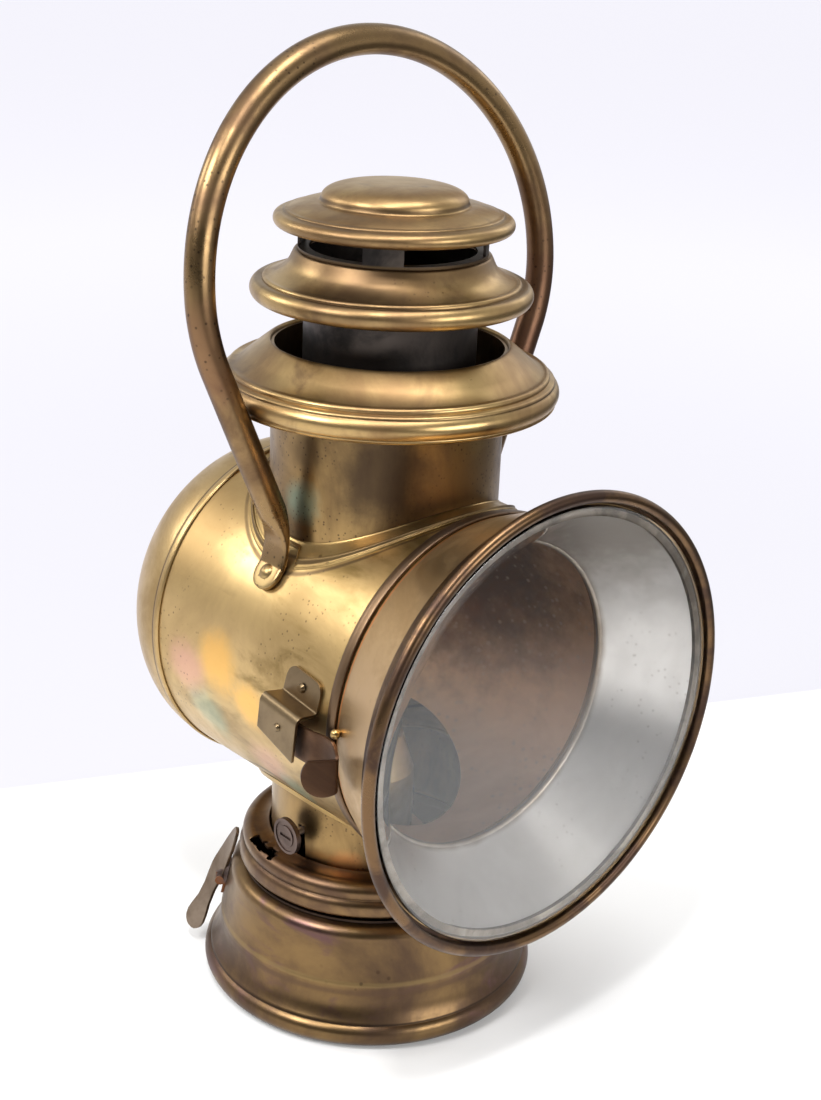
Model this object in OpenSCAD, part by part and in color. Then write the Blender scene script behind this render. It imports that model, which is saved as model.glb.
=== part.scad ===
// Motor car oil lamp with a hinged front door, a chimney of three canopies and a lift-off font.
// Millimetres, +Z up. The origin is on the ground under the chimney; the door faces -Y.

/* [Drum] */
// Outer radius of the drum
drum_r = 53.3; // [52.4:0.1:54]
// Thickness of the drum's sheet
drum_wall = 0.8; // [0.6:0.1:1.2]
// Height of the drum's axis above the ground
drum_axis_h = 114.7; // [112:0.5:120]
// From the chimney axis to the drum's front edge
drum_front = 45; // [42:0.5:48]
// From the chimney axis to the seam of the rear dome
dome_seam = 42.5; // [40:0.5:45]
// Length of the rear dome's straight lip behind the seam
dome_straight = 2.5; // [1:0.5:4]
// Depth of the rounded part of the rear dome
dome_depth = 38; // [30:1:42]
// Sheet of the rear dome
dome_wall = 0.5; // [0.4:0.1:0.8]
// Bead radius of the bronze ring at the drum's front edge
front_bead = 1.4; // [1:0.1:1.8]
// Length of the bronze ring along the drum
front_ring_len = 4.2; // [3:0.1:6]

/* [Necks] */
// Outer radius of the upper neck
neck_r = 34.6; // [32:0.2:37]
// Outer radius of the lower neck
low_neck_r = 32.5; // [31:0.2:34]
// Sheet of both necks
neck_wall = 0.8; // [0.6:0.1:1.2]
// Outer radius of the upper neck's flange on the drum
saddle_r = 40.7; // [39:0.2:43]
// Outer radius of the lower neck's flange on the drum
low_saddle_r = 37; // [36:0.2:41]
// Sheet of the two flanges
saddle_wall = 0.7; // [0.5:0.1:1]
// Width of the raised bead along a flange's edge
saddle_bead = 1.6; // [1:0.1:2.4]

/* [Lower collar] */
// Outer radius of the collar's wall
collar_r = 41.7; // [41:0.1:43]
// Wall of the collar
collar_wall = 1.1; // [0.8:0.1:1.4]
// Height of the collar
collar_h = 11; // [9:0.5:13]
// Thickness of the collar's flat top
collar_top = 1.2; // [0.8:0.1:2]
// Radius of the lower bead on the collar's wall
collar_bead = 1.3; // [0.8:0.1:1.8]
// Inner radius of the slit that lets the knob through
slit_in = 36.5; // [35.5:0.1:36.6]
// Outer radius of the slit
slit_out = 40.4; // [40.2:0.1:40.5]
// Angle from the slit's middle to its rear end
slit_back = 22; // [16:1:26]
// Angle from the slit's middle to its front end, past the knob
slit_front = 20; // [19:1:24]

/* [Canopies] */
// Height of the hole's edge in the lowest canopy
skirt_top = 211; // [207:0.5:214]
// Drop from that edge to the crease above the rolls
skirt_drop = 7.4; // [5:0.2:10]
// Radius at the crease of the lowest canopy
skirt_crease_r = 46; // [44:0.5:48]
// Radius of the lowest canopy's main roll
skirt_roll = 3.5; // [3:0.1:4.2]
// Sheet of the canopies
canopy_wall = 0.7; // [0.5:0.1:1]
// Outer radius of the chimney tube
tube_r = 25.5; // [24:0.2:27]
// Sheet of the chimney tube
tube_wall = 0.7; // [0.5:0.1:1]
// Lower end of the chimney tube, inside the upper neck
tube_bottom = 172; // [169:1:178]
// Height of the top edge of the middle canopy
mid_top = 237.3; // [234:0.5:240]
// Radius of the top edge of the middle canopy
mid_top_r = 28.4; // [27.8:0.1:30]
// Drop from that edge to the crease above the roll
mid_drop = 8; // [6:0.2:10]
// Radius at the crease of the middle canopy
mid_crease_r = 36.6; // [35:0.5:38]
// Radius of the middle canopy's roll
mid_roll = 3.1; // [2.6:0.1:3.6]
// Height of the crown's open gallery
gallery_h = 11.2; // [9:0.2:12]
// Sheet of the gallery
gallery_t = 0.8; // [0.6:0.1:1]
// Width of its flat rings
gallery_lip = 3.2; // [2.4:0.1:3.2]
// Width of one of its strips
strip_w = 11.5; // [8:0.5:14]
// Number of strips
strips = 4; // [3:1:6]
// Turn of the strips about the chimney
strip_turn = 43; // [0:1:89]
// Radius where the cap's dome starts
cap_dome_r = 21.7; // [20:0.1:23]
// Height of the cap's dome
cap_dome_h = 5.6; // [4:0.2:8]
// Radius where the cap's brim ends
cap_brim_r = 31.4; // [30.6:0.2:33]
// Drop of the cap's brim
cap_brim_drop = 3; // [2:0.2:4]
// Radius of the cap's edge roll
cap_roll = 2.1; // [1.6:0.1:2.6]
// Number of legs that carry the chimney tube
spider_legs = 3; // [3:1:6]
// Height of those legs and of their ring
spider_h = 6; // [4:0.5:8]
// Thickness of the legs and the ring
spider_t = 0.8; // [0.6:0.1:1]
// From the tube's lower end up to the legs
spider_up = 4; // [2:0.5:6]

/* [Handle] */
// Radius of the handle's tube
handle_tube = 4.25; // [3.5:0.25:4.5]
// Radius of the hoop over the top
hoop_r = 64.8; // [60:0.2:66]
// Height of the hoop's middle
hoop_z = 229.6; // [226:0.2:234]
// Bend radius of the hoop's shoulders
shoulder_r = 54; // [40:1:60]
// Bend radius of the legs above the ears
foot_bend = 27; // [22:1:40]
// From the chimney axis to each leg's foot
leg_x = 40.6; // [40.2:0.1:41]
// How far the hoop's top leans to the rear
handle_lean = 15; // [6:0.5:16]
// How far the hoop's top has been bent sideways
handle_sway = 1; // [-3:0.5:3]
// Width of the flattened ears
ear_w = 10.5; // [9:0.5:12]
// Thickness of the ears
ear_t = 2.2; // [1.6:0.2:2.8]
// Angle round the drum from a leg's foot down to its rivet
ear_rivet_turn = 5; // [4:0.5:6]
// Radius of a rivet's head
ear_rivet_head = 2.4; // [1.8:0.1:3]

/* [Door] */
// Gap between the drum's front edge and the door
door_gap = 0.4; // [0.3:0.1:0.8]
// Depth of the door from its back edge to the middle of the rim's bead
door_depth = 30; // [26:0.5:34]
// How far the cone's back edge stands out past the drum
cone_step = 0.7; // [0.3:0.1:1.1]
// Radius of the rim, to the middle of its bead
rim_r = 67.4; // [65:0.2:69]
// Radius of the rim's bead
rim_bead = 2.6; // [2.2:0.1:3.2]
// Sheet of the cone
cone_wall = 0.8; // [0.6:0.1:1.2]
// Thickness of the glass
glass_t = 3; // [2.4:0.2:4]
// Thickness left at the edge of the bevel
glass_edge = 1.4; // [1:0.1:2]
// Width of the polished bevel
bevel_w = 8.5; // [6:0.5:11]
// Thickness of the ring that holds the glass
retainer_t = 1.3; // [0.8:0.1:1.6]
// Thickness of the flat ring at the door's back edge
door_ring_t = 1.2; // [0.8:0.1:1.6]
// How far the silvered hood's inner edge stands in from the bowl's rim
hood_step = 5.7; // [4.3:0.1:7.3]
// Radius of the roll at that edge
hood_roll = 1.1; // [0.8:0.1:1.4]
// Sheet of the silvered pieces
silver_wall = 0.5; // [0.4:0.1:0.8]
// Depth of the silvered bowl behind its rim
bowl_depth = 88; // [80:1:94]
// Radius of the bowl's holes for the burner and the chimney
bowl_hole = 28; // [24:0.5:30]

/* [Door hinge] */
// Radius of the hinge pin
pin_r = 1; // [0.8:0.05:1.2]
// Radius of the hinge's knuckles
knuckle_r = 2.2; // [2:0.1:2.6]
// Length of one knuckle
knuckle_len = 7; // [5:0.5:9]
// Gap between two knuckles
knuckle_gap = 0.3; // [0.2:0.1:0.5]
// Length of a hinge leaf
leaf_len = 11; // [8:0.5:13]
// Thickness of a hinge leaf
leaf_t = 1; // [0.8:0.1:1.2]

/* [Latch] */
// Middle of the latch along the drum, from the chimney axis
latch_y = 29.2; // [28:0.2:30]
// Height of the latch's rivet above the drum's axis
latch_up = 9.3; // [8.6:0.1:9.8]
// Turn of the cover about its rivet, its front end down
cover_turn = 7; // [5:0.5:9]
// Width of the cover
cover_w = 16.4; // [15:0.2:18]
// From the rivet down to the rear corner of the cover's face
cover_rear_h = 13.8; // [12.5:0.1:14.5]
// From the rivet down to the front corner of the cover's face
cover_front_h = 17; // [16:0.1:18]
// How far the cover's face stands out from the drum
cover_stand = 8.4; // [8:0.2:9.5]
// Sheet of the cover
cover_t = 0.9; // [0.7:0.1:1.1]
// Width of the tab over the cover
tab_w = 15.4; // [13:0.2:16]
// Height of that tab
tab_h = 9.5; // [8:0.5:11]
// Radius of its corners
tab_corner = 3.5; // [2:0.5:4]
// Height of the sprung strip
latch_strip_h = 10.5; // [8:0.5:11]
// Thickness of the sprung strip
latch_strip_t = 0.8; // [0.6:0.1:1]
// Length of the strip's foot on the drum
latch_foot = 2.4; // [1.6:0.2:3]
// Gap between the sprung strip and the cover's face
latch_strip_gap = 1.6; // [1.5:0.1:2]
// Radius of the thumb tab
thumb_r = 6.6; // [6:0.1:8]
// From the end of the strip to the middle of the thumb tab
thumb_in = 3.8; // [3:0.2:6]
// Thickness of the thumb tab
thumb_t = 1.2; // [1:0.1:1.4]
// Angle of the thumb tab to the strip
thumb_turn = 60; // [50:1:70]
// Radius of the stud on the door
stud_r = 1.1; // [0.8:0.1:1.3]

/* [Font] */
// Height of the font, to the seat of the collar
font_h = 38.9; // [38:0.1:40]
// Radius of the ring that rests on the ground
foot_r = 50.3; // [48:0.2:51]
// Radius to the middle of the foot bead
foot_bead_r = 51.9; // [51.5:0.1:53]
// Radius of the foot bead
foot_bead = 2.1; // [1.6:0.1:2.6]
// Height of the middle of the foot bead
foot_bead_h = 8; // [7:0.2:10]
// Radius of the font's wall at its lower crease
font_low_r = 48.2; // [47.4:0.2:49]
// Height of that crease
font_low_h = 20.4; // [18:0.2:21]
// Radius of the font's wall below its shoulder
font_high_r = 45.4; // [44.5:0.2:46]
// Height of the shoulder's lower edge
font_high_h = 33.6; // [32:0.2:34.5]
// Sheet of the font
font_wall = 0.8; // [0.6:0.1:1.2]
// Height of the ring that centres the collar
spigot_h = 2.6; // [2:0.1:3.5]

/* [Burner] */
// Outer radius of the threaded ring on the font
ring_r = 16; // [15:0.5:18]
// Height of that ring
ring_h = 7; // [5:0.5:8]
// Radius of the burner's flange
flange_r = 18.5; // [17:0.5:21]
// Thickness of the flange
flange_t = 1.5; // [1:0.1:2]
// Outer radius of the burner's chamber
chamber_r = 13.5; // [12.8:0.1:14.4]
// Sheet of the chamber
chamber_wall = 0.8; // [0.6:0.1:1]
// Height of the chamber above the flange
chamber_h = 24; // [22:0.5:28]
// Height of the burner's cone above the chamber
spread_h = 12; // [9:0.5:14]
// Radius at the top of the cone
spread_r = 10; // [9.6:0.1:11]
// Number of air holes round the chamber
air_holes = 10; // [6:1:12]
// Radius of an air hole
air_hole_r = 1.5; // [1:0.1:2]
// Width of the wick
wick_w = 15; // [12:0.5:15.5]
// Thickness of the wick
wick_t = 2.6; // [2:0.1:3]
// Gap between the wick and its tube
wick_gap = 0.3; // [0.25:0.05:0.4]
// Wall of the wick tube
wick_wall = 0.6; // [0.5:0.1:0.9]
// Length of the wick tube
wick_tube_len = 48; // [45:1:52]
// Wick standing over its tube
wick_out = 3; // [2:0.5:5]

/* [Wick knob] */
// Height of the spindle above the collar's seat
spindle_up = 21; // [20:0.1:21.4]
// Radius of the spindle
spindle_r = 1.3; // [1.1:0.1:1.5]
// Radius of the toothed wheels
wheel_r = 2.4; // [2.2:0.1:2.6]
// Thickness of a toothed wheel
wheel_t = 1.2; // [0.8:0.1:1.6]
// Distance from the middle to each wheel
wheel_x = 4; // [3:0.5:5]
// Teeth on a wheel
wheel_teeth = 10; // [8:1:12]
// Radius of the knob
knob_r = 5.8; // [5.4:0.1:6.2]
// Thickness of the knob
knob_t = 1.6; // [1.2:0.1:1.7]
// From the chimney axis to the knob's outer face
knob_x = 38.6; // [38.4:0.1:38.7]

/* [Font clip] */
// Turn of the clip about the chimney
clip_turn = 135; // [125:1:145]
// Distance of the clip's pin from the chimney axis
clip_pin_x = 49; // [48.8:0.1:49.4]
// Height of the clip's pin
clip_pin_h = 27; // [26:0.2:28]
// Radius of the clip's pin
clip_pin_r = 0.9; // [0.7:0.05:1]
// Width of the bracket between its ears
bracket_w = 6; // [5:0.5:8]
// Metal left round the pin in the bracket's ears
bracket_rim = 0.7; // [0.5:0.1:1]
// Sheet of the bracket and the clip
clip_t = 0.9; // [0.7:0.1:1.1]
// Distance of the clip's thumb end from the chimney axis
clip_thumb_x = 58.2; // [58:0.1:59.4]

/* [Fits] */
// Gap between pieces that are soldered or slipped together
fit = 0.1; // [0.05:0.05:0.15]
// Radial clearance of a pin that turns in its hole
running = 0.06; // [0.03:0.01:0.09]
// Clearance between pieces that move past each other
clear = 0.4; // [0.3:0.05:0.5]

/* [Hidden] */
$fn = 96;
BIG = 200;
BRASS = "#b08d4a";
BRONZE = "#7a5c3c";
DARK = "#4a3a30";
SILVER = "#c9c7c2";

drum_back = dome_seam + dome_straight - 0.5;
cone_back_r = drum_r + cone_step;
door_back = drum_front + door_gap;
rim_h = door_back + door_depth;
cone_front = rim_h - rim_bead * 0.7;
cone_slope = (rim_r - rim_bead * 0.7 - cone_back_r) / (cone_front - door_back);
glass_back = cone_front + 2 * fit;
glass_front = glass_back + glass_t;
glass_r = rim_r - rim_bead + 0.6;
bowl_r = drum_r - drum_wall - 2 * fit;
hood_inner_r = bowl_r - hood_step;
hood_back = door_back + door_ring_t + hood_roll + fit;
collar_seat = font_h;
spigot_r = collar_r - collar_wall - clear;
collar_z = collar_seat + collar_h;
neck_low = collar_z - collar_top - 1;
spindle_z = collar_seat + spindle_up;
wick_y = 0.1;
wick_face = wick_y - wick_t / 2;
spindle_y = wick_face - clear + 0.1 - wheel_r;
notch_half = spindle_r + 0.6;
notch_left = 11.5;
notch_top = spindle_z + notch_half;
deck_z = font_h - font_wall;
burner_z = font_h + ring_h;
chamber_z = burner_z + flange_t;
spread_z = chamber_z + chamber_h;
wick_tube_z = burner_z - 2;
wick_len = wick_tube_len + wick_out + 12;
pin_x = cone_back_r + knuckle_r + 2;
pin_y = -door_back - 0.2;
ear_path_r = drum_r + fit + 0.1 + ear_t / 2;
foot_turn = acos(leg_x / ear_path_r);
rivet_a = foot_turn - ear_rivet_turn;
foot_top = drum_axis_h + ear_path_r * sin(foot_turn) + 1.2;
foot_z = foot_top + 4;
shoulder_x = hoop_r - shoulder_r;
leg_span = norm([leg_x + foot_bend - shoulder_x, hoop_z - foot_z]);
leg_a = atan2(hoop_z - foot_z, leg_x + foot_bend - shoulder_x)
    - acos((shoulder_r + foot_bend) / leg_span);
handle_rise = hoop_z + hoop_r - foot_top;
ear_top_x = leg_x - handle_tube;
skirt_roll_r = skirt_crease_r + 1;
skirt_roll_z = skirt_top - skirt_drop - skirt_roll - 2.2;
mid_roll_z = mid_top - mid_drop - mid_roll - 0.2;
gallery_r = mid_top_r - 0.9;
brim_in = [cap_dome_r + 0.9, -0.45];
brim_out = [cap_brim_r - 0.8, 0.25 - cap_brim_drop];
brim_slope = (brim_out[1] - brim_in[1]) / (brim_out[0] - brim_in[0]);
cap_z = mid_top + gallery_h + fit + 1.05 * canopy_wall - brim_in[1]
    - brim_slope * (gallery_r - brim_in[0]);
latch_z = drum_axis_h + latch_up;
strip_front = drum_front + 7.8;
// The cover stands clear of the sprung strip, and the strip of the door's cone
cover_x = max(drum_r + cover_stand,
    cone_r(strip_front) + clear + latch_strip_t + latch_strip_gap + cover_t);
strip_x = cover_x - cover_t - latch_strip_gap;
strip_low = latch_z - 6.7 - latch_strip_h;

// Points of an arc about c from angle a0 to a1
function arc(c, r, a0, a1, n = 8) =
    [for (i = [0:n]) c + r * [cos(a0 + (a1 - a0) * i / n), sin(a0 + (a1 - a0) * i / n)]];

// Points of a curve that leaves a towards m and reaches b
function bend(a, m, b, n = 7) =
    [for (i = [0:n]) let (t = i / n) a * pow(1 - t, 2) + m * 2 * t * (1 - t) + b * pow(t, 2)];

// A profile moved sideways by t, to its right-hand side
function beside(p, t) =
    [for (i = [0:len(p) - 1])
        let (a = p[max(0, i - 1)], b = p[min(len(p) - 1, i + 1)], d = (b - a) / norm(b - a))
            p[i] + t * [d[1], -d[0]]];

function backwards(p) = [for (i = [len(p) - 1:-1:0]) p[i]];

// Spun sheet: a profile of radius and height with a thickness to its right-hand side
module spun(p, t) {
    rotate_extrude()
        polygon(concat(p, backwards(beside(p, t))));
}

module ring(r_out, r_in, h) {
    difference() {
        cylinder(r = r_out, h = h);
        translate([0, 0, -1])
            cylinder(r = r_in, h = h + 2);
    }
}

module bead(r, b, z) {
    translate([0, 0, z])
        rotate_extrude()
            translate([r, 0])
                circle(r = b, $fn = 32);
}

// Drum frame: the children's +Z is the drum's axis, forwards
module on_drum() {
    translate([0, 0, drum_axis_h])
        rotate([90, 0, 0])
            children();
}

module drum_solid(r) {
    on_drum()
        translate([0, 0, -BIG])
            cylinder(r = r, h = 2 * BIG);
}

// Sheet of thickness t on the drum, kept where it meets the children
module drum_skin(t) {
    intersection() {
        difference() {
            drum_solid(drum_r + fit + t);
            drum_solid(drum_r + fit);
        }
        children();
    }
}

// Font

function font_outline() = concat(
    [[foot_r, 0]],
    bend([foot_r + 0.3, 0.4], [foot_bead_r - 0.6, 3],
        [foot_bead_r + 0.4, foot_bead_h - foot_bead], 3),
    arc([foot_bead_r, foot_bead_h], foot_bead, -75, 75, 8),
    bend([foot_bead_r + 0.4, foot_bead_h + foot_bead + 0.1],
        [font_low_r + 0.5, foot_bead_h + foot_bead + 2], [font_low_r + 0.3, font_low_h - 1], 6),
    [[font_low_r, font_low_h]],
    arc([font_high_r - 3.9, font_high_h + 0.2], 3.9, 0, 78, 6));

// Radius of the font's wall at a height
function wall_r(z) = font_low_r + (font_high_r - font_low_r) * (z - font_low_h) / (font_high_h - font_low_h);

module font_shell() {
    color(BRONZE)
        spun(backwards(font_outline()), font_wall);
}

module font_top() {
    seat_r = font_high_r - 3.9;
    color(BRONZE)
        difference() {
            union() {
                translate([0, 0, deck_z])
                    cylinder(r = seat_r, h = font_wall);
                translate([0, 0, font_h - 0.2])
                    ring(spigot_r, spigot_r - 1, spigot_h + 0.2);
            }
            translate([0, 0, deck_z - 1])
                cylinder(r = ring_r - 4, h = 4);
        }
}

module font_bottom() {
    color(BRONZE)
        cylinder(r = foot_r - font_wall - fit, h = font_wall);
}

// Burner

module burner_collar() {
    color(BRASS)
        translate([0, 0, font_h])
            ring(ring_r, chamber_r - 0.5 + fit, ring_h);
}

module wick_slot(grow, z, h) {
    w = wick_w + 2 * (wick_gap + wick_wall) + grow;
    t = wick_t + 2 * (wick_gap + wick_wall) + grow;
    translate([-w / 2, wick_y - t / 2, z])
        cube([w, t, h]);
}

module spindle_bore(r) {
    translate([-BIG / 2, spindle_y, spindle_z])
        rotate([0, 90, 0])
            cylinder(r = r, h = BIG, $fn = 48);
}

module burner_body() {
    neck_in = chamber_r - 0.5;
    color(BRASS)
        difference() {
            union() {
                translate([0, 0, font_h + 1])
                    ring(neck_in, neck_in - 1.2, ring_h);
                translate([0, 0, burner_z])
                    ring(flange_r, neck_in - 1.2, flange_t);
                translate([0, 0, chamber_z - 0.2])
                    ring(chamber_r, chamber_r - chamber_wall, chamber_h + 0.2);
                spun([[chamber_r, spread_z], [spread_r + 0.8, spread_z + spread_h * 0.7],
                    [spread_r, spread_z + spread_h]], -chamber_wall);
                translate([0, 0, spread_z + spread_h - chamber_wall])
                    cylinder(r = spread_r, h = chamber_wall);
            }
            wick_slot(2 * fit, spread_z, BIG);
            spindle_bore(spindle_r + running);
            for (i = [0:air_holes - 1])
                rotate([0, 0, (i + 0.5) * 360 / air_holes])
                    translate([chamber_r - 3, 0, chamber_z + 4])
                        rotate([0, 90, 0])
                            cylinder(r = air_hole_r, h = 6, $fn = 32);
        }
}

module wick_tube() {
    color(BRASS)
        difference() {
            wick_slot(0, wick_tube_z, wick_tube_len);
            wick_slot(-2 * wick_wall, wick_tube_z - 1, wick_tube_len + 2);
            for (s = [-1, 1])
                translate([s * wheel_x - wheel_t / 2 - clear, wick_y - 8, spindle_z - wheel_r - clear])
                    cube([wheel_t + 2 * clear, 8, 2 * (wheel_r + clear)]);
        }
}

module wick() {
    color("#d8cdb4")
        translate([-wick_w / 2, wick_y - wick_t / 2, wick_tube_z + wick_tube_len + wick_out - wick_len])
            cube([wick_w, wick_t, wick_len]);
}

module toothed_wheel() {
    difference() {
        cylinder(r = wheel_r, h = wheel_t, $fn = 48);
        for (i = [0:wheel_teeth - 1])
            rotate([0, 0, i * 360 / wheel_teeth])
                translate([wheel_r, 0, -1])
                    cylinder(r = wheel_r * 0.18, h = wheel_t + 2, $fn = 16);
    }
}

module wick_spindle() {
    color(DARK)
        translate([0, spindle_y, spindle_z])
            rotate([0, 90, 0])
                union() {
                    translate([0, 0, -knob_x + knob_t])
                        cylinder(r = spindle_r, h = knob_x - knob_t + chamber_r + 1, $fn = 48);
                    for (s = [-1, 1])
                        translate([0, 0, s * wheel_x - wheel_t / 2])
                            toothed_wheel();
                }
}

module wick_knob() {
    color(BRONZE)
        translate([-knob_x, spindle_y, spindle_z])
            rotate([0, 90, 0])
                difference() {
                    cylinder(r = knob_r, h = knob_t);
                    translate([0, 0, -0.1])
                        ring(knob_r - 0.9, knob_r * 0.6, 0.4);
                    translate([-0.5, -knob_r * 0.45, -0.1])
                        cube([1, knob_r * 0.9, 0.6]);
                }
}

// Clip that holds the font to the collar

module clip_frame() {
    rotate([0, 0, clip_turn])
        children();
}

// A plate across the clip: a side view of radius and height, w wide
module across(p, w, shift = 0) {
    translate([0, shift + w / 2, 0])
        rotate([90, 0, 0])
            linear_extrude(height = w)
                polygon(p);
}

module clip_bracket() {
    ear_top = clip_pin_h + 4;
    ear_low = clip_pin_h - 6;
    low = wall_r(ear_low) + fit / 2;
    high = wall_r(ear_top) + fit / 2;
    reach = clip_pin_x + clip_pin_r + bracket_rim;
    color(DARK)
        clip_frame()
            difference() {
                union() {
                    across([[low, ear_low], [low + clip_t, ear_low], [high + clip_t, ear_top],
                        [high, ear_top]], bracket_w);
                    for (s = [-1, 1])
                        across([[low, ear_low + 3], [reach, clip_pin_h - 2.4],
                            [reach, clip_pin_h + 1.6], [high, ear_top]],
                            clip_t, s * (bracket_w - clip_t) / 2);
                }
                translate([clip_pin_x, -BIG / 2, clip_pin_h])
                    rotate([-90, 0, 0])
                        cylinder(r = clip_pin_r + running, h = BIG, $fn = 48);
            }
}

module clip_pin() {
    half = bracket_w / 2 + clip_t + 1.1;
    color(DARK)
        clip_frame()
            translate([clip_pin_x, -half, clip_pin_h])
                rotate([-90, 0, 0])
                    union() {
                        cylinder(r = clip_pin_r, h = 2 * half, $fn = 48);
                        translate([0, 0, -0.5])
                            cylinder(r = clip_pin_r + 0.6, h = 0.5, $fn = 32);
                        translate([0, 0, 2 * half])
                            cylinder(r = clip_pin_r + 0.6, h = 0.5, $fn = 32);
                    }
}

module font_clip() {
    // Outer line from the tip beside the collar to the thumb end beside the foot
    tip = [collar_r + collar_bead + clear + 0.4, font_h + 4.4];
    thumb = [clip_thumb_x, 5];
    side = bracket_w / 2 + 0.3;
    lever_w = 2 * (side + clip_t);
    out = thumb - tip;
    n = [out[1], -out[0]] / norm(out);
    web_top = tip - n * clip_t;
    web_low = tip + out * 0.68;
    color(BRONZE)
        clip_frame()
            difference() {
                union() {
                    across([tip, web_low, web_low + n * clip_t, tip + n * clip_t], lever_w);
                    across([web_low - out * 0.02, thumb, thumb + n * 1.2,
                        web_low - out * 0.02 + n * clip_t], lever_w - 1.5);
                    translate([thumb[0] + n[0] * 0.6, 0, thumb[1]])
                        rotate([90, 0, 0])
                            translate([0, 0, -(lever_w - 1.5) / 2])
                                cylinder(r = 1.1, h = lever_w - 1.5, $fn = 32);
                    // Cheeks with an eye for the pin
                    for (s = [-1, 1])
                        translate([0, s * (side + clip_t / 2), 0])
                            union() {
                                across([tip + out * 0.12, tip + out * 0.26 + n * 1.5,
                                    tip + out * 0.38 + n * 2, tip + out * 0.5 + n * 2.2,
                                    tip + out * 0.62 + n * 2, tip + out * 0.7], clip_t);
                                translate([clip_pin_x, clip_t / 2, clip_pin_h])
                                    rotate([90, 0, 0])
                                        cylinder(r = clip_pin_r + bracket_rim, h = clip_t, $fn = 48);
                            }
                }
                // Window in the web for the bracket's ears
                translate([clip_pin_x - 4, -side, clip_pin_h - 3.4])
                    cube([8, 2 * side, 7.2]);
                translate([clip_pin_x, -BIG / 2, clip_pin_h])
                    rotate([-90, 0, 0])
                        cylinder(r = clip_pin_r + running, h = BIG, $fn = 48);
            }
}

// Lower collar and lower neck

module lower_collar() {
    color(BRONZE)
        difference() {
            union() {
                translate([0, 0, collar_seat])
                    ring(collar_r, collar_r - collar_wall, collar_h - 1);
                bead(collar_r - 0.2, collar_bead, collar_seat + 7.2);
                bead(collar_r - 0.9, 0.9, collar_z - 1.1);
                spun([[collar_r - 0.6, collar_z - 0.9], [collar_r - 3, collar_z - 0.2],
                    [low_neck_r + fit, collar_z + 1.2]], -collar_top);
            }
            // Inside of the wall, where the font's ring enters, and the hole for the neck
            translate([0, 0, collar_seat - 1])
                cylinder(r = collar_r - collar_wall, h = collar_h - collar_top - 1);
            translate([0, 0, collar_seat])
                cylinder(r = low_neck_r + fit, h = 2 * collar_h);
            // Arc slit for the knob
            rotate([0, 0, 180 - slit_back])
                translate([0, 0, collar_seat + 1])
                    rotate_extrude(angle = slit_back + slit_front)
                        translate([slit_in, 0])
                            square([slit_out - slit_in, collar_h + 2]);
            // Way for the spindle from the slit to the neck
            translate([-slit_in - 1, spindle_y - notch_half, collar_seat - 1])
                cube([slit_in + 1 - low_neck_r + 4, 2 * notch_half, BIG]);
        }
}

module neck_notch() {
    translate([-low_neck_r - 5, spindle_y - notch_half, 0])
        cube([15, notch_left - spindle_y + notch_half, notch_top]);
}

module lower_neck() {
    color(BRASS)
        difference() {
            translate([0, 0, neck_low])
                ring(low_neck_r, low_neck_r - neck_wall, drum_axis_h - neck_low);
            drum_solid(drum_r + fit / 2);
            neck_notch();
        }
}

module lower_saddle() {
    color(BRASS)
        saddle(low_saddle_r, low_neck_r, -1);
}

// Flange on the drum round a neck, with a raised bead along its edge
module saddle(r_out, r_in, way) {
    difference() {
        union() {
            drum_skin(saddle_wall)
                saddle_reach(r_out, way);
            drum_skin(saddle_bead)
                difference() {
                    saddle_reach(r_out, way);
                    translate([0, 0, -1])
                        cylinder(r = r_out - saddle_bead, h = 2 * BIG);
                }
        }
        translate([0, 0, -1])
            cylinder(r = r_in + fit, h = 2 * BIG);
    }
}

module saddle_reach(r, way) {
    translate([0, 0, way > 0 ? drum_axis_h : 0])
        cylinder(r = r, h = drum_axis_h);
}

// Drum

module drum_shell() {
    color(BRASS)
        difference() {
            on_drum()
                translate([0, 0, -drum_back])
                    ring(drum_r, drum_r - drum_wall, drum_front + drum_back);
            translate([0, 0, drum_axis_h])
                cylinder(r = neck_r - neck_wall, h = BIG);
            cylinder(r = low_neck_r - neck_wall, h = drum_axis_h);
        }
}

// Quarter of an oval of radius r and depth d, from its edge at height h to its pole below
function oval(r, d, h) = [for (a = [0:7.5:90]) [a < 90 ? r * cos(a) : 0, h - d * sin(a)]];

// Closed shell of thickness t between two ovals, with a straight edge of the length straight
module oval_shell(r, d, h, t, straight = 0) {
    rotate_extrude()
        polygon(concat([[r, h + straight]], oval(r, d, h), backwards(oval(r - t, d - t, h)),
            [[r - t, h + straight]]));
}

module rear_dome() {
    r = drum_r + fit + dome_wall;
    back = -dome_seam - dome_straight;
    color(BRASS)
        on_drum()
            union() {
                oval_shell(r - dome_wall, dome_depth, back, dome_wall);
                translate([0, 0, back - 0.3])
                    ring(r, r - 2 * dome_wall, 0.6);
                translate([0, 0, back])
                    ring(r, r - dome_wall, dome_straight);
            }
}

module drum_front_ring() {
    color(BRONZE)
        difference() {
            on_drum()
                union() {
                    translate([0, 0, drum_front - front_ring_len])
                        ring(drum_r + 0.9, drum_r + fit, front_ring_len);
                    difference() {
                        bead(drum_r + 0.8, front_bead, drum_front - front_bead - 0.5);
                        translate([0, 0, -BIG])
                            cylinder(r = drum_r + fit, h = 2 * BIG);
                    }
                }
            // Notch for the hinge's leaf
            translate([0, -drum_front - 1, drum_axis_h - knuckle_len / 2 - 1])
                cube([BIG, front_ring_len + 2, knuckle_len + 2]);
        }
}

module reflector_bowl() {
    color(SILVER)
        difference() {
            on_drum()
                oval_shell(bowl_r, bowl_depth, drum_front - 2, silver_wall, 1);
            translate([0, 0, drum_axis_h])
                cylinder(r = bowl_hole, h = BIG);
            cylinder(r = bowl_hole, h = drum_axis_h);
        }
}

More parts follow.
